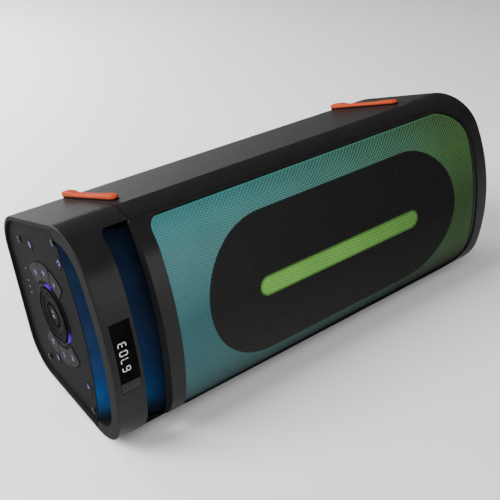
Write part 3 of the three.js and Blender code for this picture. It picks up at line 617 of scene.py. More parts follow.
def smoked_liner():
    """Wall of the grip slot: blue light comes through it, strongest low down and beside the rim, and
    dimmed by painted shade near the front frame.
    """
    material, tree, shader = blank("smoked_blue")
    place, mapped = section_place(tree)
    colour = ramp(tree, spread(tree, place[2], -100, 100), LINER_GLOW)
    ends = facing_ends(tree)
    near = ramp(tree, spread(tree, place[0], 0, 57), LINER_FADE_AND_SHADE)
    near = product(tree, near, spread(tree, ends, 0, 1, 1.0, 0.25))
    level = product(tree, near, noisy_level(tree, noise(tree, mapped, 0.05, 3.0), 0.85, 1.15))
    fine = noise(tree, mapped, 1.2, 2.0)
    shade(
        shader,
        Emission_Color=scaled(tree, colour, level),
        Emission_Strength=1.0,
        Base_Color=noisy_colour(tree, fine, (0.001, 0.001, 0.002), (0.002, 0.002, 0.004)),
        Roughness=maths(tree, "MAXIMUM", noisy_level(tree, fine, 0.3, 0.42), ends),
        Specular_IOR_Level=0.008,
    )
    return material


RING_GLOW = [(0.0, (0.001, 0.001, 0.003)), (0.4, (0.012, 0.001, 0.1)), (1.0, (0.09, 0.003, 0.7))]
RING_LIGHTS = ((94, 0.07), (-149, 0.1))
RING_FADE = 0.25


def lit_ring():
    """Ring round the knob, violet at two places, given as an angle and half a width, else dark."""
    material, tree, shader = blank("led_purple")
    place, mapped = section_place(tree)
    angle = maths(tree, "ARCTAN2", place[2], maths(tree, "SUBTRACT", place[1], DIAL_Y))
    level = 0.0
    for centre, half in RING_LIGHTS:
        away = apart(tree, angle, math.radians(centre))
        lobe = spread(tree, away, half, half + RING_FADE, 1.0, 0.0, interpolation_type="SMOOTHSTEP")
        level = maths(tree, "ADD", level, lobe)
    fine = noise(tree, mapped, 0.6, 2.0)
    level = product(tree, level, noisy_level(tree, fine, 0.8, 1.2))
    shade(
        shader,
        Emission_Color=ramp(tree, level, RING_GLOW),
        Emission_Strength=1.0,
        Base_Color=noisy_colour(tree, fine, (0.003, 0.003, 0.004), (0.006, 0.006, 0.008)),
        Roughness=noisy_level(tree, fine, 0.12, 0.2),
        Specular_IOR_Level=0.003,
    )
    return material


# Name, low and high colour, roughness, scale, strength and depth of the grain, specular level.
SURFACES = [
    ("frame_plastic", (0.007, 0.007, 0.0072), (0.0095, 0.0094, 0.0094), 0.42, 1300, 0.25, 0.04, 0.15),
    ("panel_plastic", (0.0068, 0.0068, 0.007), (0.009, 0.009, 0.0093), 0.42, 1500, 0.3, 0.03, 0.004),
    ("smoked_patch", (0.017, 0.016, 0.016), (0.023, 0.022, 0.022), 0.3, 700, 0.1, 0.02, 0.1),
    ("circuit_board", (0.01, 0.07, 0.03), (0.02, 0.11, 0.045), 0.4, 400, 0.4, 0.1),
    ("socket_black", 0.008, 0.016, 0.4, 700, 0.2, 0.04),
    ("black_rubber", 0.01, 0.018, 0.75, 1100, 0.4, 0.08),
    ("port_plastic", 0.008, 0.013, 0.35, 900, 0.2, 0.03),
    ("battery_wrap", (0.02, 0.06, 0.28), (0.03, 0.09, 0.36), 0.3, 300, 0.2, 0.1),
    ("key_gloss", (0.0075, 0.0075, 0.009), (0.011, 0.011, 0.013), 0.24, 900, 0.1, 0.02, 0.005),
    ("key_matt", (0.01, 0.01, 0.011), (0.014, 0.014, 0.015), 0.4, 1300, 0.3, 0.03, 0.005),
    ("basket_steel", 0.02, 0.035, 0.5, 700, 0.3, 0.05),
    ("paper_cone", 0.012, (0.03, 0.029, 0.028), 0.85, 500, 0.5, 0.2),
    ("gloss_black", 0.002, 0.004, 0.12, 500, 0.02, 0.01, 0.01),
    ("knob_gloss", 0.003, 0.0055, 0.16, 900, 0.05, 0.01, 0.0015),
    ("inner_board", (0.02, 0.018, 0.016), (0.05, 0.042, 0.036), 0.8, 500, 0.5, 0.3),
    ("zinc_part", (0.35, 0.36, 0.38), (0.45, 0.46, 0.47), 0.35, 500, 0.1, 0.03),
    ("screw_steel", (0.006, 0.006, 0.0065), (0.014, 0.014, 0.015), 0.38, 600, 0.2, 0.03),
    ("magnet_iron", (0.12, 0.12, 0.125), 0.22, 0.5, 400, 0.3, 0.06),
]
SPECIAL = {name: {"Metallic": 1.0} for name in ("zinc_part", "screw_steel", "magnet_iron")}
SPECIAL |= {"gloss_black": {"uneven": 0.03}, "knob_gloss": {"uneven": 0.04}}
SPECIAL["inner_board"] = {"stretch": (1, 1, 0.2)}
FINISHES = {row[0]: surface(*row, **SPECIAL.get(row[0], {})) for row in SURFACES}
FINISHES |= {
    "housing_plastic": moulded_housing(),
    "smoked_blue": smoked_liner(),
    "orange_rubber": rubber_with_painted_base_shade(),
    "led_blue": glowing("led_blue", (0.02, 0.2, 0.9), (0.01, 0.1, 0.5), 1.2),
    "led_purple": lit_ring(),
    "led_white": glowing("led_white", (1.0, 1.05, 1.15), (0.7, 0.75, 0.85), 0.45),
    "light_guide": glowing("light_guide", (0.05, 0.2, 0.2), (0.03, 0.14, 0.15), 1.0),
    "grille_fabric": lit_cloth("grille_fabric", (1.12, 1.5), cloth_glow),
    # The black centre glows with painted light.
    "black_fabric": lit_cloth("black_fabric", (1.0, 1.0), centre_painted_light),
    "lit_fabric": lit_cloth("lit_fabric", (1.3, 1.36), slot_glow),
}
NET = lit_cloth("grille_net", (0.72, 0.07), net_glow)
ICON = glowing("icon_violet", (0.2, 0.125, 0.62), (0.15, 0.09, 0.48), 1.0, base=(0.05, 0.05, 0.07))
DIGIT = glowing("digit_white", (0.95, 0.98, 1.05), (0.75, 0.8, 0.9), 0.55, base=(0.3, 0.3, 0.3))
WHITE_MARK = surface("white_print", (0.045, 0.045, 0.046), (0.065, 0.065, 0.067), 0.5, 900, 0.1, 0.01)

NODE_SLOT = {row["node"]: row["material_slot"] for row in frame["record"]["subparts"]}

# ---- pieces -------------------------------------------------------------------------------------


def dress(mesh, material):
    mesh.materials.clear()
    mesh.materials.append(material)
    mesh.polygons.foreach_set("material_index", [0] * len(mesh.polygons))


def finish_piece(made, name, slot, node=None, body="housing", material=None, bevel=0.0, crisp=35.0):
    """Rounds the sharp edges, moves the shape into the row's frame and says what it is."""
    if bevel:
        modifier = made.modifiers.new("bevel", "BEVEL")
        modifier.width = bevel
        modifier.segments = 2
        modifier.limit_method = "ANGLE"
        modifier.angle_limit = math.radians(40)
        settle(made)
    made.name = made.data.name = name
    made.data.transform(ROW)
    dress(made.data, material or FINISHES[slot])
    made.data.polygons.foreach_set("use_smooth", [True] * len(made.data.polygons))
    made.data.set_sharp_from_angle(angle=math.radians(crisp))
    made.modifiers.new("normals", "WEIGHTED_NORMAL").keep_sharp = True
    if node:
        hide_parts(node)
    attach(made, body)


def joined(objects):
    """One object from several closed ones that don't share faces."""
    edit = bmesh.new()
    for one in objects:
        edit.from_mesh(one.data)
        bpy.data.objects.remove(one)
    return from_bmesh(edit, bpy.data.meshes.new("shape"))


# -- rubber feet and their seats


def foot_frame(x, flip):
    middle = (FOOT_START + FOOT_END) / 2
    slanted = Matrix.Translation((0, middle, 0)) @ Matrix.Rotation(FOOT_SLANT, 4, "Z")
    slanted = slanted @ Matrix.Translation((0, -middle, 0))
    matrix = Matrix.Translation((x, 0, HALF_FRONT)) @ Matrix.Rotation(-SLOPE, 4, "X") @ slanted
    if not flip:
        return matrix
    return Matrix.Translation((2 * x, 0, 0)) @ Matrix.Rotation(math.pi, 4, "Y") @ matrix


SEAT_MARGIN, SEAT_LOW, SEAT_HIGH = 1.3, -1.4, 6.6


def foot_seats(x):
    """Tools for the seats of the bumper and the foot at x."""
    half = FOOT_WIDTH / 2
    outline = np.vstack([
        arc((0, FOOT_START + half), half + SEAT_MARGIN, math.pi, 2 * math.pi, 16, whole=True),
        arc((0, FOOT_END - half), half + SEAT_MARGIN, 0, math.pi, 16, whole=True),
    ])
    tools = []
    for flip in (False, True):
        made = loft([np.insert(outline, 2, height, axis=1) for height in (SEAT_LOW, SEAT_HIGH)])
        made.data.transform(foot_frame(x, flip))
        tools.append(made)
    return tools


# -- control end cap

ROUNDED_EDGE = [(0.0, 1.3), (0.1, 0.75), (0.45, 0.3), (0.95, 0.06), (1.5, 0.0)]
cap = loft(
    [ring_at(dx, inset) for dx, inset in ROUNDED_EDGE]
    + [ring_at(x, 0) for x in np.linspace(6, END_CAP - 6, 5)]
    + [ring_at(END_CAP - dx / 2, inset / 2) for dx, inset in ROUNDED_EDGE[::-1]]
)
cut(cap, cut(section_solid(RIM, -1, END_CAP + 1), before_slot_wall(0, -2, END_CAP + 2)))
behind_bar = keep(
    section_solid(BAR_THICKNESS, -1, END_CAP + 1),
    block(-1, END_CAP + 1, -40, 60, -SLOT_HALF, SLOT_HALF),
    before_slot_wall(0.1, -2, END_CAP + 2),
)
frame_room = FRAME_HALF + GAP
cut(
    cap,
    behind_bar,
    prism(rectangle(BAR_WIDTH, END_CAP + 40, -frame_room, frame_room, 6), "y", -60, 26),
    block(DISPLAY_X[0] - GAP, DISPLAY_X[1] + GAP, -30, -17.5, SENSOR_Z[0] - GAP, DISPLAY_Z[1] + GAP),
    *foot_seats(FOOT_X[0]),
)
finish_piece(cap, "end_cap_shell", "housing_plastic", "control_end_cap", bevel=0.5)

# -- liner of the grip slot, with fine ribs across it
RIB_HEIGHT, RIB_PITCH = 0.12, 2.4
liner_x = np.arange(0.6, FRAME_START - GAP + 0.01, 0.4)


def liner_ring(z):
    ribs = RIB_HEIGHT * (0.5 - 0.5 * np.cos(2 * math.pi * liner_x / RIB_PITCH))
    wall = slot_depth(z) + GAP - SLOT_SLOPE * liner_x
    xs = np.concatenate([liner_x, liner_x[::-1]])
    ys = np.concatenate([wall + ribs, (wall + LINER)[::-1]])
    return np.column_stack([xs, ys, np.full(len(xs), z)])


liner = loft([liner_ring(z) for z in np.linspace(-SLOT_HALF + GAP, SLOT_HALF - GAP, 80)])
finish_piece(liner, "slot_liner_ribbed", "smoked_blue", "slot_liner")

# -- display


def front_sheet(outline, inset, thickness, creased=True):
    """Sheet that follows the bowed front inside an (x, z) outline."""
    flat = np.array(outline)
    x0, x1 = flat[:, 0].min() - 2, flat[:, 0].max() + 2
    outer = section_solid(inset, x0, x1, creased)
    shell = cut(outer, section_solid(inset + thickness, x0 - 1, x1 + 1, creased))
    return keep(shell, prism(flat, "y", -60, 30))


for name, slot, node_name, height in (
    ("display_glass", "gloss_black", "display_window", DISPLAY_Z),
    ("sensor_patch", "smoked_patch", "sensor_window", SENSOR_Z),
):
    window = front_sheet(rectangle(*DISPLAY_X, *height, 0.8, steps=4), 0.1, 1.8, False)
    finish_piece(window, name, slot, node_name, bevel=0.15)

SEGMENTS = {
    "a": ((0.0, 1.0), (1.0, 1.0)), "b": ((1.0, 1.0), (1.0, 0.5)), "c": ((1.0, 0.5), (1.0, 0.0)),
    "d": ((0.0, 0.0), (1.0, 0.0)), "e": ((0.0, 0.5), (0.0, 0.0)), "f": ((0.0, 1.0), (0.0, 0.5)),
    "g": ((0.0, 0.5), (1.0, 0.5)),
}
LIT_DIGITS = ("cdefga", "abc", "abcdef", "abcdg")
DIGIT_HEIGHT, DIGIT_WIDTH, DIGIT_STROKE, DIGIT_PITCH = 7.4, 4.2, 0.85, 7.9
DIGITS_TOP_X, DIGITS_START_Z, SEGMENT_GAP = 11.0, -17.2, 0.25


def bar_segment(start, end):
    """Bar with pointed ends between two points of the (x, z) plane, a little short of both."""
    a, b = np.array(start), np.array(end)
    along = (b - a) / np.linalg.norm(b - a)
    tip = along * DIGIT_STROKE / 2
    side = np.array([-tip[1], tip[0]])
    a, b = a + along * SEGMENT_GAP, b - along * SEGMENT_GAP
    return np.array([a, a + tip + side, b - tip + side, b, b - tip - side, a + tip - side])


def lit_digits():
    bars = []
    for index, lit in enumerate(LIT_DIGITS):
        start = DIGITS_START_Z + index * DIGIT_PITCH
        for key in lit:
            outline = bar_segment(*[
                (DIGITS_TOP_X + (1 - v) * DIGIT_HEIGHT, start + u * DIGIT_WIDTH) for u, v in SEGMENTS[key]
            ])
            front = FRONT_CENTRE[0] - np.sqrt((FRONT_RADIUS - 0.1) ** 2 - outline[:, 1] ** 2)
            bars.append(loft([np.insert(outline, 1, front + lift, axis=1) for lift in (-0.06, 0.2)]))
    return joined(bars)


finish_piece(lit_digits(), "display_digits", "gloss_black", material=DIGIT)

# -- control panel

DIAL_HOLE, CORNER_HOLE, SCREW_HOLE, INDICATOR_HOLE = 33.6, 6.6, 2.4, 1.3
holes = [
    disc((DIAL_Y, 0), DIAL_HOLE, 96),
    *[wedge(at, KEY_ANGLE + 0.9, KEY_INNER - 0.4, KEY_OUTER + 0.5, KEY_ROUND) for at in KEY_CENTRES],
    *[disc(place, CORNER_HOLE, 40) for place in CORNER_KEYS],
    *[disc(place, SCREW_HOLE, 24) for place in SCREWS],
    *[disc((INDICATOR_Y, z), INDICATOR_HOLE, 20) for z in INDICATOR_Z],
]
plate = section_solid(RIM + GAP, PANEL_X, PANEL_BACK)
cut(plate, *[prism(hole, "x", 0, 9) for hole in holes], before_slot_wall(LINER + 2 * GAP, -5, 30))
finish_piece(plate, "control_plate", "panel_plastic", "control_panel", bevel=0.35)

knob = turned([
    (12.6, 2.4), (12.6, 1.4), (12.9, 1.0), (14.2, 0.95), (14.8, 1.5), (15.4, 1.6), (16.2, 1.25),
    (20.2, 0.95), (20.5, 1.3), (20.9, 1.3), (21.2, 0.9), (24.8, 0.8), (25.1, 1.2), (25.5, 1.2),
    (25.8, 0.7), (27.4, 0.42), (28.3, 0.5), (28.8, 0.85), (29.0, 1.5), (29.0, 6.0), (25, 6.0),
    (25, 9.0), (22, 9.0), (22, 4.0), (14.8, 4.0), (14.8, 2.4),
], (DIAL_Y, 0), "x", 128)
finish_piece(knob, "volume_dial", "knob_gloss", "volume_knob", "volume_knob", crisp=50)
ring = turned([
    (29.5, 2.3), (29.9, 1.9), (31.2, 1.75), (32.6, 1.9), (33.0, 2.3), (33.0, 7.0), (29.5, 7.0),
], (DIAL_Y, 0), "x", 128)
finish_piece(ring, "dial_light_ring", "led_purple", "knob_light_ring", crisp=50)
play = turned([
    (0, 1.6), (6, 1.5), (9.5, 1.25), (10.6, 1.05), (11.2, 1.25), (11.4, 1.8), (11.4, 5.0), (8, 5.6),
    (8, 13.0), (0, 13.0),
], (DIAL_Y, 0), "x", 96)
finish_piece(play, "play_cap", "knob_gloss", "play_button", "play_button", crisp=50)


def band(radius, width, start, end, steps=14):
    """Arc-shaped band round (0, 0) as one outline."""
    a0, a1 = math.radians(start), math.radians(end)
    return np.vstack([
        arc((0, 0), radius + width / 2, a0, a1, steps, whole=True),
        arc((0, 0), radius - width / 2, a1, a0, steps, whole=True),
    ])


def spun(outline, count):
    """Copies of an outline all round (0, 0)."""
    angles = [2 * math.pi * k / count for k in range(count)]
    return [np.array(outline) @ [(math.cos(a), math.sin(a)), (-math.sin(a), math.cos(a))] for a in angles]


# Generic symbols as (y, z) outlines round (0, 0).
MARKS = {
    "play": [
        [(-2.6, -3.6), (3.2, -1.2), (-2.6, 1.2)],
        corners(-2.6, 2.8, 2.2, 3.1),
        corners(-2.6, 2.8, 4.1, 5.0),
    ],
    "plus": [np.vstack(spun([(-0.55, -0.55), (-0.55, -3.2), (0.55, -3.2)], 4))],
    "minus": [corners(-0.55, 0.55, -3.2, 3.2)],
    "next": [[(-2.2, -3), (2.2, -3), (0, 0.4)], corners(-2.2, 2.2, 1.0, 2.0)],
    "back": [[(-2.2, 3), (0, -0.4), (2.2, 3)], corners(-2.2, 2.2, -2.0, -1.0)],
    "sun": [disc((0, 0), 1.3, 20), *spun(corners(2.1, 3.4, -0.35, 0.35), 6)],
    "wave": [band(1.6, 0.7, -50, 50), band(3.0, 0.7, -50, 50), disc((0, 0), 0.7, 12)],
    "ring": [band(2.5, 0.8, 40, 320, 24), corners(1.6, 4.0, -0.4, 0.4)],
    "target": [band(2.6, 0.8, 10, 350, 24), disc((0, 0), 1.0, 16)],
}


def flat_mark(kind, centre, x, thickness=0.12):
    """A symbol that stands out of a face square to X."""
    return joined([prism(np.array(part) + centre, "x", x - thickness, x + 0.05) for part in MARKS[kind]])


mark = flat_mark("play", (DIAL_Y, 0), 1.56)
finish_piece(mark, "play_mark", "knob_gloss", body="play_button", material=WHITE_MARK)

RING_ICONS = ("sun", "plus", "wave", "next", "minus", "back")
for index, (centre, icon) in enumerate(zip(KEY_CENTRES, RING_ICONS), 1):
    body = f"ring_key_{index}"
    key = prism(wedge(centre, KEY_ANGLE, KEY_INNER, KEY_OUTER, KEY_ROUND), "x", 2.0, 7.9)
    join(key, prism(wedge(centre, KEY_ANGLE - 1, KEY_INNER - 1.4, KEY_OUTER + 1.0), "x", 6.8, 7.9))
    finish_piece(key, f"ring_key_cap_{index}", "key_gloss", body, body, bevel=0.4)
    mark = flat_mark(icon, dial_point((KEY_INNER + KEY_OUTER) / 2, math.radians(centre)), 2.0, 0.1)
    finish_piece(mark, f"ring_key_icon_{index}", "key_gloss", body=body, material=ICON)

CORNER_PROFILE = [
    (0, 2.75), (3.5, 2.7), (5.0, 2.45), (5.5, 2.25), (5.85, 2.4), (6.0, 2.8), (6.0, 6.8), (7.0, 6.8),
    (7.0, 7.9), (0, 7.9),
]
CORNER_ICONS = ("ring", "target", "wave", "sun")
for index, (place, icon) in enumerate(zip(CORNER_KEYS, CORNER_ICONS), 1):
    body = f"corner_key_{index}"
    key = turned(CORNER_PROFILE, place, "x", 48)
    finish_piece(key, f"corner_key_cap_{index}", "key_matt", body, body, crisp=50)
    mark = flat_mark(icon, place, 2.7)
    finish_piece(mark, f"corner_key_icon_{index}", "key_matt", body=body, material=ICON)

SCREW_PROFILE = [
    (0, 1.15), (1.8, 1.2), (2.9, 1.45), (3.4, 1.9), (3.4, 2.6), (1.6, 2.6), (1.6, 18), (0, 19),
]
CROSS_WIDTH, CROSS_LENGTH, CROSS_DEPTH = 0.45, 2, 2.2
for index, (y, z) in enumerate(SCREWS, 1):
    screw = turned(SCREW_PROFILE, (y, z), "x", 32)
    for dy, dz in ((CROSS_WIDTH, CROSS_LENGTH), (CROSS_LENGTH, CROSS_WIDTH)):
        cut(screw, block(0, CROSS_DEPTH, y - dy, y + dy, z - dz, z + dz))
    name = f"panel_screw_head_{index}"
    finish_piece(screw, name, "screw_steel", f"panel_screw_{index}", crisp=50)

# -- main cabinet

cabinet_x0, cabinet_x1 = END_CAP + GAP, FAR_CAP - GAP
SEAM_EDGE = [(0.0, 0.5), (0.1, 0.2), (0.3, 0.04), (0.6, 0.0)]
cabinet = loft(
    [ring_at(cabinet_x0 + dx, inset, True) for dx, inset in SEAM_EDGE]
    + [ring_at(cabinet_x1 - dx, inset, True) for dx, inset in SEAM_EDGE[::-1]]
    + [ring_at(cabinet_x1, WALL, True), ring_at(cabinet_x0, WALL, True)],
    ends=False,
)
cut(cabinet, block(cabinet_x0 - 1, cabinet_x1 + 1, -60, 26, -frame_room, frame_room))
cut(cabinet, *foot_seats(FOOT_X[0]), *foot_seats(FOOT_X[1]))
j0, j1 = JACK_X
floor_y = DEPTH - JACK_DEPTH
join(cabinet, block(j0 - 3, j1 + 3, floor_y - 3, DEPTH - 1, -JACK_HALF - 3, JACK_HALF + 3))
cut(
    cabinet,
    prism(rectangle(j0, j1, -JACK_HALF, JACK_HALF, 3, steps=6), "y", floor_y, DEPTH + 5),
    block(j0 + 6, j1 - 6, DEPTH - 40, DEPTH, -JACK_HALF + 8, JACK_HALF - 8),
    prism(disc((PORT_X, 0), PORT_RADIUS + 4 + 3 * GAP, 72), "y", DEPTH - 20, DEPTH + 5),
)
finish_piece(cabinet, "cabinet_shell", "housing_plastic", "main_cabinet", bevel=0.5, crisp=8)

# -- far end cap


def far_end(made):
    for vertex in made.data.vertices:
        x, y, z = vertex.co
        share = max(0, (x - FAR_CAP) / (LENGTH - FAR_CAP))
        vertex.co.x = x - share * (END_SLANT * y + END_BOW * z * z)
    return made


def closing(x, inset):
    return [ring_at(x, inset, scale=s) for s in (0.93, 0.8, 0.65, 0.5, 0.35, 0.2, 0.08)]


outer_end = [
    ring_at(LENGTH - END_ROUND * (1 - math.sin(a)), END_ROUND * (1 - math.cos(a)))
    for a in np.linspace(0, math.pi / 2, 11)
]
outer_rings = [ring_at(FAR_CAP + dx, inset) for dx, inset in SEAM_EDGE]
outer_rings += [ring_at(x, 0) for x in np.linspace(FAR_CAP + 8, LENGTH - END_ROUND - 8, 5)]
outer_rings += outer_end + closing(LENGTH, END_ROUND)
inner_rings = [ring_at(FAR_CAP, WALL), ring_at(LENGTH - 8, WALL), ring_at(LENGTH - 5, WALL + 4)]
inner_rings += closing(LENGTH - 5, WALL + 4)
far_cap = far_end(loft(inner_rings[::-1] + outer_rings))


def end_turned(profile, place):
    """Turned piece on the far end, square to its slant."""
    y, z = place
    made = turned(profile, (0, 0), "x", 48)
    matrix = Matrix.Translation((LENGTH - END_SLANT * y - END_BOW * z * z, y, z))
    made.data.transform(matrix @ Matrix.Rotation(math.atan(END_SLANT), 4, "Z"))
    return made


cut(far_cap, prism(grown(*FRAME, GAP), "y", -60, 26))
cut(far_cap, *[end_turned(corners(0, 9.6, -1.1, 6), place) for place in END_FEET], *foot_seats(FOOT_X[1]))
finish_piece(far_cap, "far_cap_shell", "housing_plastic", "far_end_cap", bevel=0.4)
for index, place in enumerate(END_FEET, 1):
    pad = end_turned([
        (0, -0.7), (9, -0.7), (9, 1.7), (8.7, 2.3), (8.0, 2.6), (6.2, 2.6), (5.9, 2.2), (5.3, 2.2),
        (5.0, 2.6), (0, 2.6),
    ], place)
    finish_piece(pad, f"end_pad_{index}", "black_rubber", f"end_foot_{index}", crisp=50)

# -- front frame, with a raised lip round the grille

bezel = front_sheet(grown(*FRAME), 0, 5)
side_wall = keep(
    section_solid(0, FRAME_START, FRAME_START + 3.5, True),
    before_slot_wall(LINER, 0, 80),
    block(0, 80, -60, 24, -SLOT_HALF + 2, SLOT_HALF - 2),
)
join(bezel, side_wall)
cut(bezel, prism(grown(*GRILLE), "y", -60, 40))
# Width of the lip, and depth of the channel beside it.
for lip, depth in ((2.2, 0.4), (2.7, 0.9), (3.2, 1.5)):
    half = FRAME_HALF - lip
    radii = CORNER_LEFT + 0.6, FRAME_CORNER - lip
    channel = rectangle(GRILLE_LEFT - 0.6, FRAME_END - lip, -half, half, *radii, 24)
    cut(bezel, front_sheet(channel, -2, 2 + depth))
finish_piece(bezel, "front_bezel", "frame_plastic", "front_frame", bevel=0.45)

# -- cloth, centre panel and lit slot
cloth = front_sheet(grown(*GRILLE, -GAP), INSET, CLOTH)
cut(cloth, prism(stadium(*WOOFER_X, PILL + GAP), "y", -60, 30))
finish_piece(cloth, "grille_cloth", "grille_fabric", "grille_panel")
centre_cloth = front_sheet(stadium(*WOOFER_X, PILL), INSET, CLOTH)
cut(centre_cloth, prism(stadium(*LIGHT_X, LIGHT + GAP), "y", -60, 30))
finish_piece(centre_cloth, "centre_cloth", "black_fabric", "centre_panel")
slot_cloth = front_sheet(stadium(*LIGHT_X, LIGHT), INSET, CLOTH)
finish_piece(slot_cloth, "slot_cloth", "lit_fabric", "light_slot_lens")

NET_PITCH, NET_WIDTH, NET_HEIGHT = 2.3, 0.8, 0.42
NET_STEP = NET_PITCH / 2 / math.sqrt(3)
NET_SWING = (NET_PITCH - NET_WIDTH) / 2
NET_MARGIN, NET_START, NET_SHORT = 0.7, 1.6, 0.3


def net_reach(x):
    """Half height of the grille's outline at x, less a margin."""
    top = GRILLE_HALF - NET_MARGIN
    edges = (GRILLE_LEFT + NET_MARGIN, CORNER_LEFT), (GRILLE_RIGHT - NET_MARGIN, CORNER_RIGHT)
    for edge, radius in edges:
        inside = abs(x - edge)
        if inside < radius:
            return top - radius + math.sqrt(radius**2 - (radius - inside) ** 2)
    return top


def net_piece(indices, name):
    """Wavy threads, each touching its neighbours in turn, as in a hexagonal knit."""
    vertices, faces = [], []
    for k in indices:
        x = GRILLE_LEFT + NET_START + k * NET_PITCH
        reach = net_reach(x) - NET_SHORT
        steps = int(reach / NET_STEP)
        phase = np.arange(-steps, steps + 1)
        z = phase * NET_STEP
        swing = np.where((phase // 2) % 2 == 0, 1.0, -1.0) * (1 if k % 2 else -1)
        mid = x + swing * NET_SWING
        low, high = front_depth(z, INSET - 0.02), front_depth(z, INSET - NET_HEIGHT)
        first, last = len(vertices), len(vertices) + 3 * (len(z) - 1)
        for m, zz, yl, yh in zip(mid, z, low, high):
            vertices += [(m - NET_WIDTH / 2, yl, zz), (m, yh, zz), (m + NET_WIDTH / 2, yl, zz)]
        for a in range(first, last, 3):
            b = a + 3
            faces += [(a, b, b + 1, a + 1), (a + 1, b + 1, b + 2, a + 2), (a + 2, b + 2, b, a)]
        faces += [(first, first + 1, first + 2), (last + 2, last + 1, last)]
    mesh = bpy.data.meshes.new(name)
    mesh.from_pydata(vertices, [], faces)
    mesh.transform(ROW)
    mesh.materials.append(NET)
    made = placed(mesh)
    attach(made, "housing")


threads = int((GRILLE_RIGHT - GRILLE_LEFT - 2 * NET_START) / NET_PITCH) + 1
for index, part in enumerate(np.array_split(np.arange(threads), 2), 1):
    net_piece([int(k) for k in part], f"grille_net_{index}")

# -- orange bumpers and feet

# Distance along a bar from its front end, and the bar's height there.
FOOT_STEPS = [
    (0.0, 2.6), (0.8, 3.4), (3.0, 4.8), (7.5, 6.1), (12, 6.5), (19, 6.5), (22, 6.3), (27, 4.9), (32, 4.5),
    (50, 4.5), (72, 4.5), (78, 4.7), (84, 5.8), (87, 6.4), (91, 6.5), (100, 6.5), (104, 5.8),
    (105.4, 4.6), (106.0, 3.2),
]
FRONT_HEAD_START, FRONT_HEAD_END, FRONT_HEAD_TOP = 2.5, 30.0, 5.3
BAR_FOOT, BAR_FOOT_TOP, BAR_SIDE, BAR_ROUND = -1.1, 0.9, 1.5, 1.6


def rubber_bar(x, flip):
    """Long rubber bar with rounded ends, low in its middle and higher at both ends."""
    length, radius = FOOT_END - FOOT_START, FOOT_WIDTH / 2
    stations = [between(a, b, 4) for a, b in zip(FOOT_STEPS, FOOT_STEPS[1:])]
    rings = []
    for along, height in np.vstack([*stations, FOOT_STEPS[-1]]):
        if not flip and FRONT_HEAD_START < along < FRONT_HEAD_END:
            height = min(height, FRONT_HEAD_TOP)
        short = radius - min(along, length - along, radius)
        half_width = math.sqrt(max(radius**2 - short**2, 0.36))
        soft = min(BAR_ROUND, half_width * 0.7)
        foot = half_width * 0.8
        right = np.vstack([
            [(foot, BAR_FOOT), (foot, BAR_FOOT_TOP), (half_width, BAR_SIDE)],
            arc((half_width - soft, height - soft), soft, 0, math.pi / 2, 4, whole=True),
        ])
        outline = np.vstack([right, right[::-1] * (-1, 1)])
        rings.append(np.insert(outline, 1, FOOT_START + along, axis=1))
    made = loft(rings)
    made.data.transform(foot_frame(x, flip))
    return made


for x, side in zip(FOOT_X, ("left", "right")):
    for flip, label, node in ((False, "top_rubber", "top_bumper"), (True, "foot_rubber", "bottom_foot")):
        name = f"{label}_{side}"
        finish_piece(rubber_bar(x, flip), name, "orange_rubber", f"{node}_{side}", crisp=55)

# -- back: cover, port and sockets

cover_outline = rectangle(j0 + 0.6, j1 - 0.6, -JACK_HALF + 0.6, JACK_HALF - 4.4, 3, steps=8)
cover = prism(cover_outline, "y", DEPTH - 3.2, DEPTH - 0.2)
barrel = turned(corners(0, 1.6, j0 + 1, j1 - 1), (DEPTH - 2, JACK_HALF - 2.6), "x", 32)
web = block(j0 + 4, j1 - 4, DEPTH - 3, DEPTH - 1, JACK_HALF - 5, JACK_HALF - 3)
join(cover, web, barrel)
GROOVES, GROOVE_PITCH, GROOVE_WIDTH, GROOVE_HALF = 5, 1.1, 0.5, 9
groove_x = (j0 + j1) / 2 - GROOVE_HALF, (j0 + j1) / 2 + GROOVE_HALF
for k in range(GROOVES):
    z = -JACK_HALF + 4.4 + k * GROOVE_PITCH
    cut(cover, block(*groove_x, DEPTH - 0.7, DEPTH + 1, z, z + GROOVE_WIDTH))
finish_piece(cover, "connector_cover", "black_rubber", "jack_cover", "jack_cover", bevel=0.4)

# Radius, and depth in front of the back face.
PORT_PROFILE = [
    (21, DEPTH - 100), (24, DEPTH - 100), (24, 6), (29, 3), (29, 0.9), (28.6, 0.45), (27.6, 0.4),
    (26, 0.6), (24.2, 1.6), (22.8, 3.6), (21.6, 6.6), (21, 10),
]
port = turned([(radius, DEPTH - depth) for radius, depth in PORT_PROFILE], (PORT_X, 0), "y", 96)
finish_piece(port, "port_tube", "port_plastic", "bass_port", crisp=50)

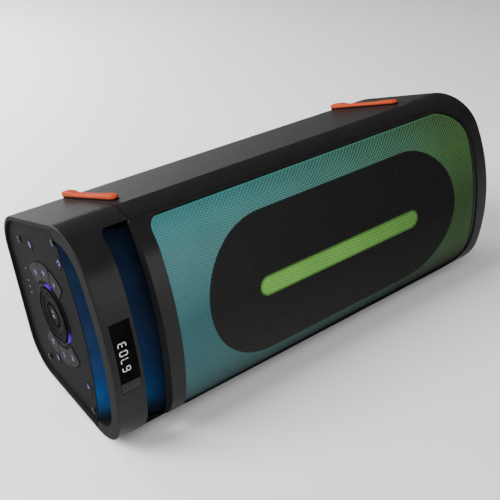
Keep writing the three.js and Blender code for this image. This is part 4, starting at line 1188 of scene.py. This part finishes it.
SOCKET_BORE, SOCKET_LENGTH = 16, 20
socket_front = floor_y + 3.5
for name, x, hole, radius, label in (
    ("microphone_socket", 160, 3.3, 7, "microphone_jack"), ("aux_socket", 192, 1.9, 5, "aux_jack"),
):
    socket_profile = [
        (0, SOCKET_BORE), (hole, SOCKET_BORE), (hole, 0.3), (hole + 0.4, 0), (radius - 0.5, 0),
        (radius, 0.5), (radius, SOCKET_LENGTH), (0, SOCKET_LENGTH),
    ]
    socket = turned([(r, socket_front - depth) for r, depth in socket_profile], (x, 0), "y", 48)
    finish_piece(socket, label, "socket_black", name, crisp=50)

# ---- finishes of the CAD nodes that stay ---------------------------------------------------------

for node_name, node_object in frame["nodes"].items():
    if node_object.hide_render:
        continue
    dress(node_object.data, FINISHES[NODE_SLOT[node_name]])

# ---- floor, light and camera --------------------------------------------------------------------

floor_edit = bmesh.new()
bmesh.ops.create_grid(floor_edit, x_segments=8, y_segments=8, size=6)
floor = from_bmesh(floor_edit, bpy.data.meshes.new("floor"))
floor.data.materials.append(surface("floor_paper", 0.93, 0.96, 0.9, 60, 0.05, 0.2, 0.1, broad=2.0))

world = bpy.data.worlds.new("studio")
bpy.context.scene.world = world
world.use_nodes = True
feed(world.node_tree.nodes["Background"], {"Color": rgba(1.0), "Strength": 0.12})


def area_light(name, place, target, size, power):
    data = bpy.data.lights.new(name, "AREA")
    data.shape = "RECTANGLE"
    data.size, data.size_y = size
    data.energy = power
    lamp = placed(data)
    lamp.location = place
    lamp.rotation_euler = (Vector(target) - Vector(place)).to_track_quat("-Z", "Y").to_euler()


area_light("left_softbox", (-1.7, 0.5, 1.6), (0.1, 0.3, 0), (1.3, 1.3), 95)
area_light("back_softbox", (-0.45, 1.5, 0.8), (0.0, 1.35, 0), (0.7, 0.7), 34)
area_light("fill_softbox", (-0.9, -1.6, 2.2), (0.2, 0, 0), (1.5, 1.5), 34)
area_light("front_strip", (0.55, -1.95, 0.5), (-0.2, -0.1, 0.15), (0.8, 0.3), 14)

camera_data = bpy.data.cameras.new("camera")
camera_data.sensor_width = 36
camera_data.lens = 54.647
camera = placed(camera_data)
camera.location = (-0.46527, -0.57927, 0.54304)
camera.rotation_euler = (1.01844, 0.01987, -0.66151)
bpy.context.scene.camera = camera
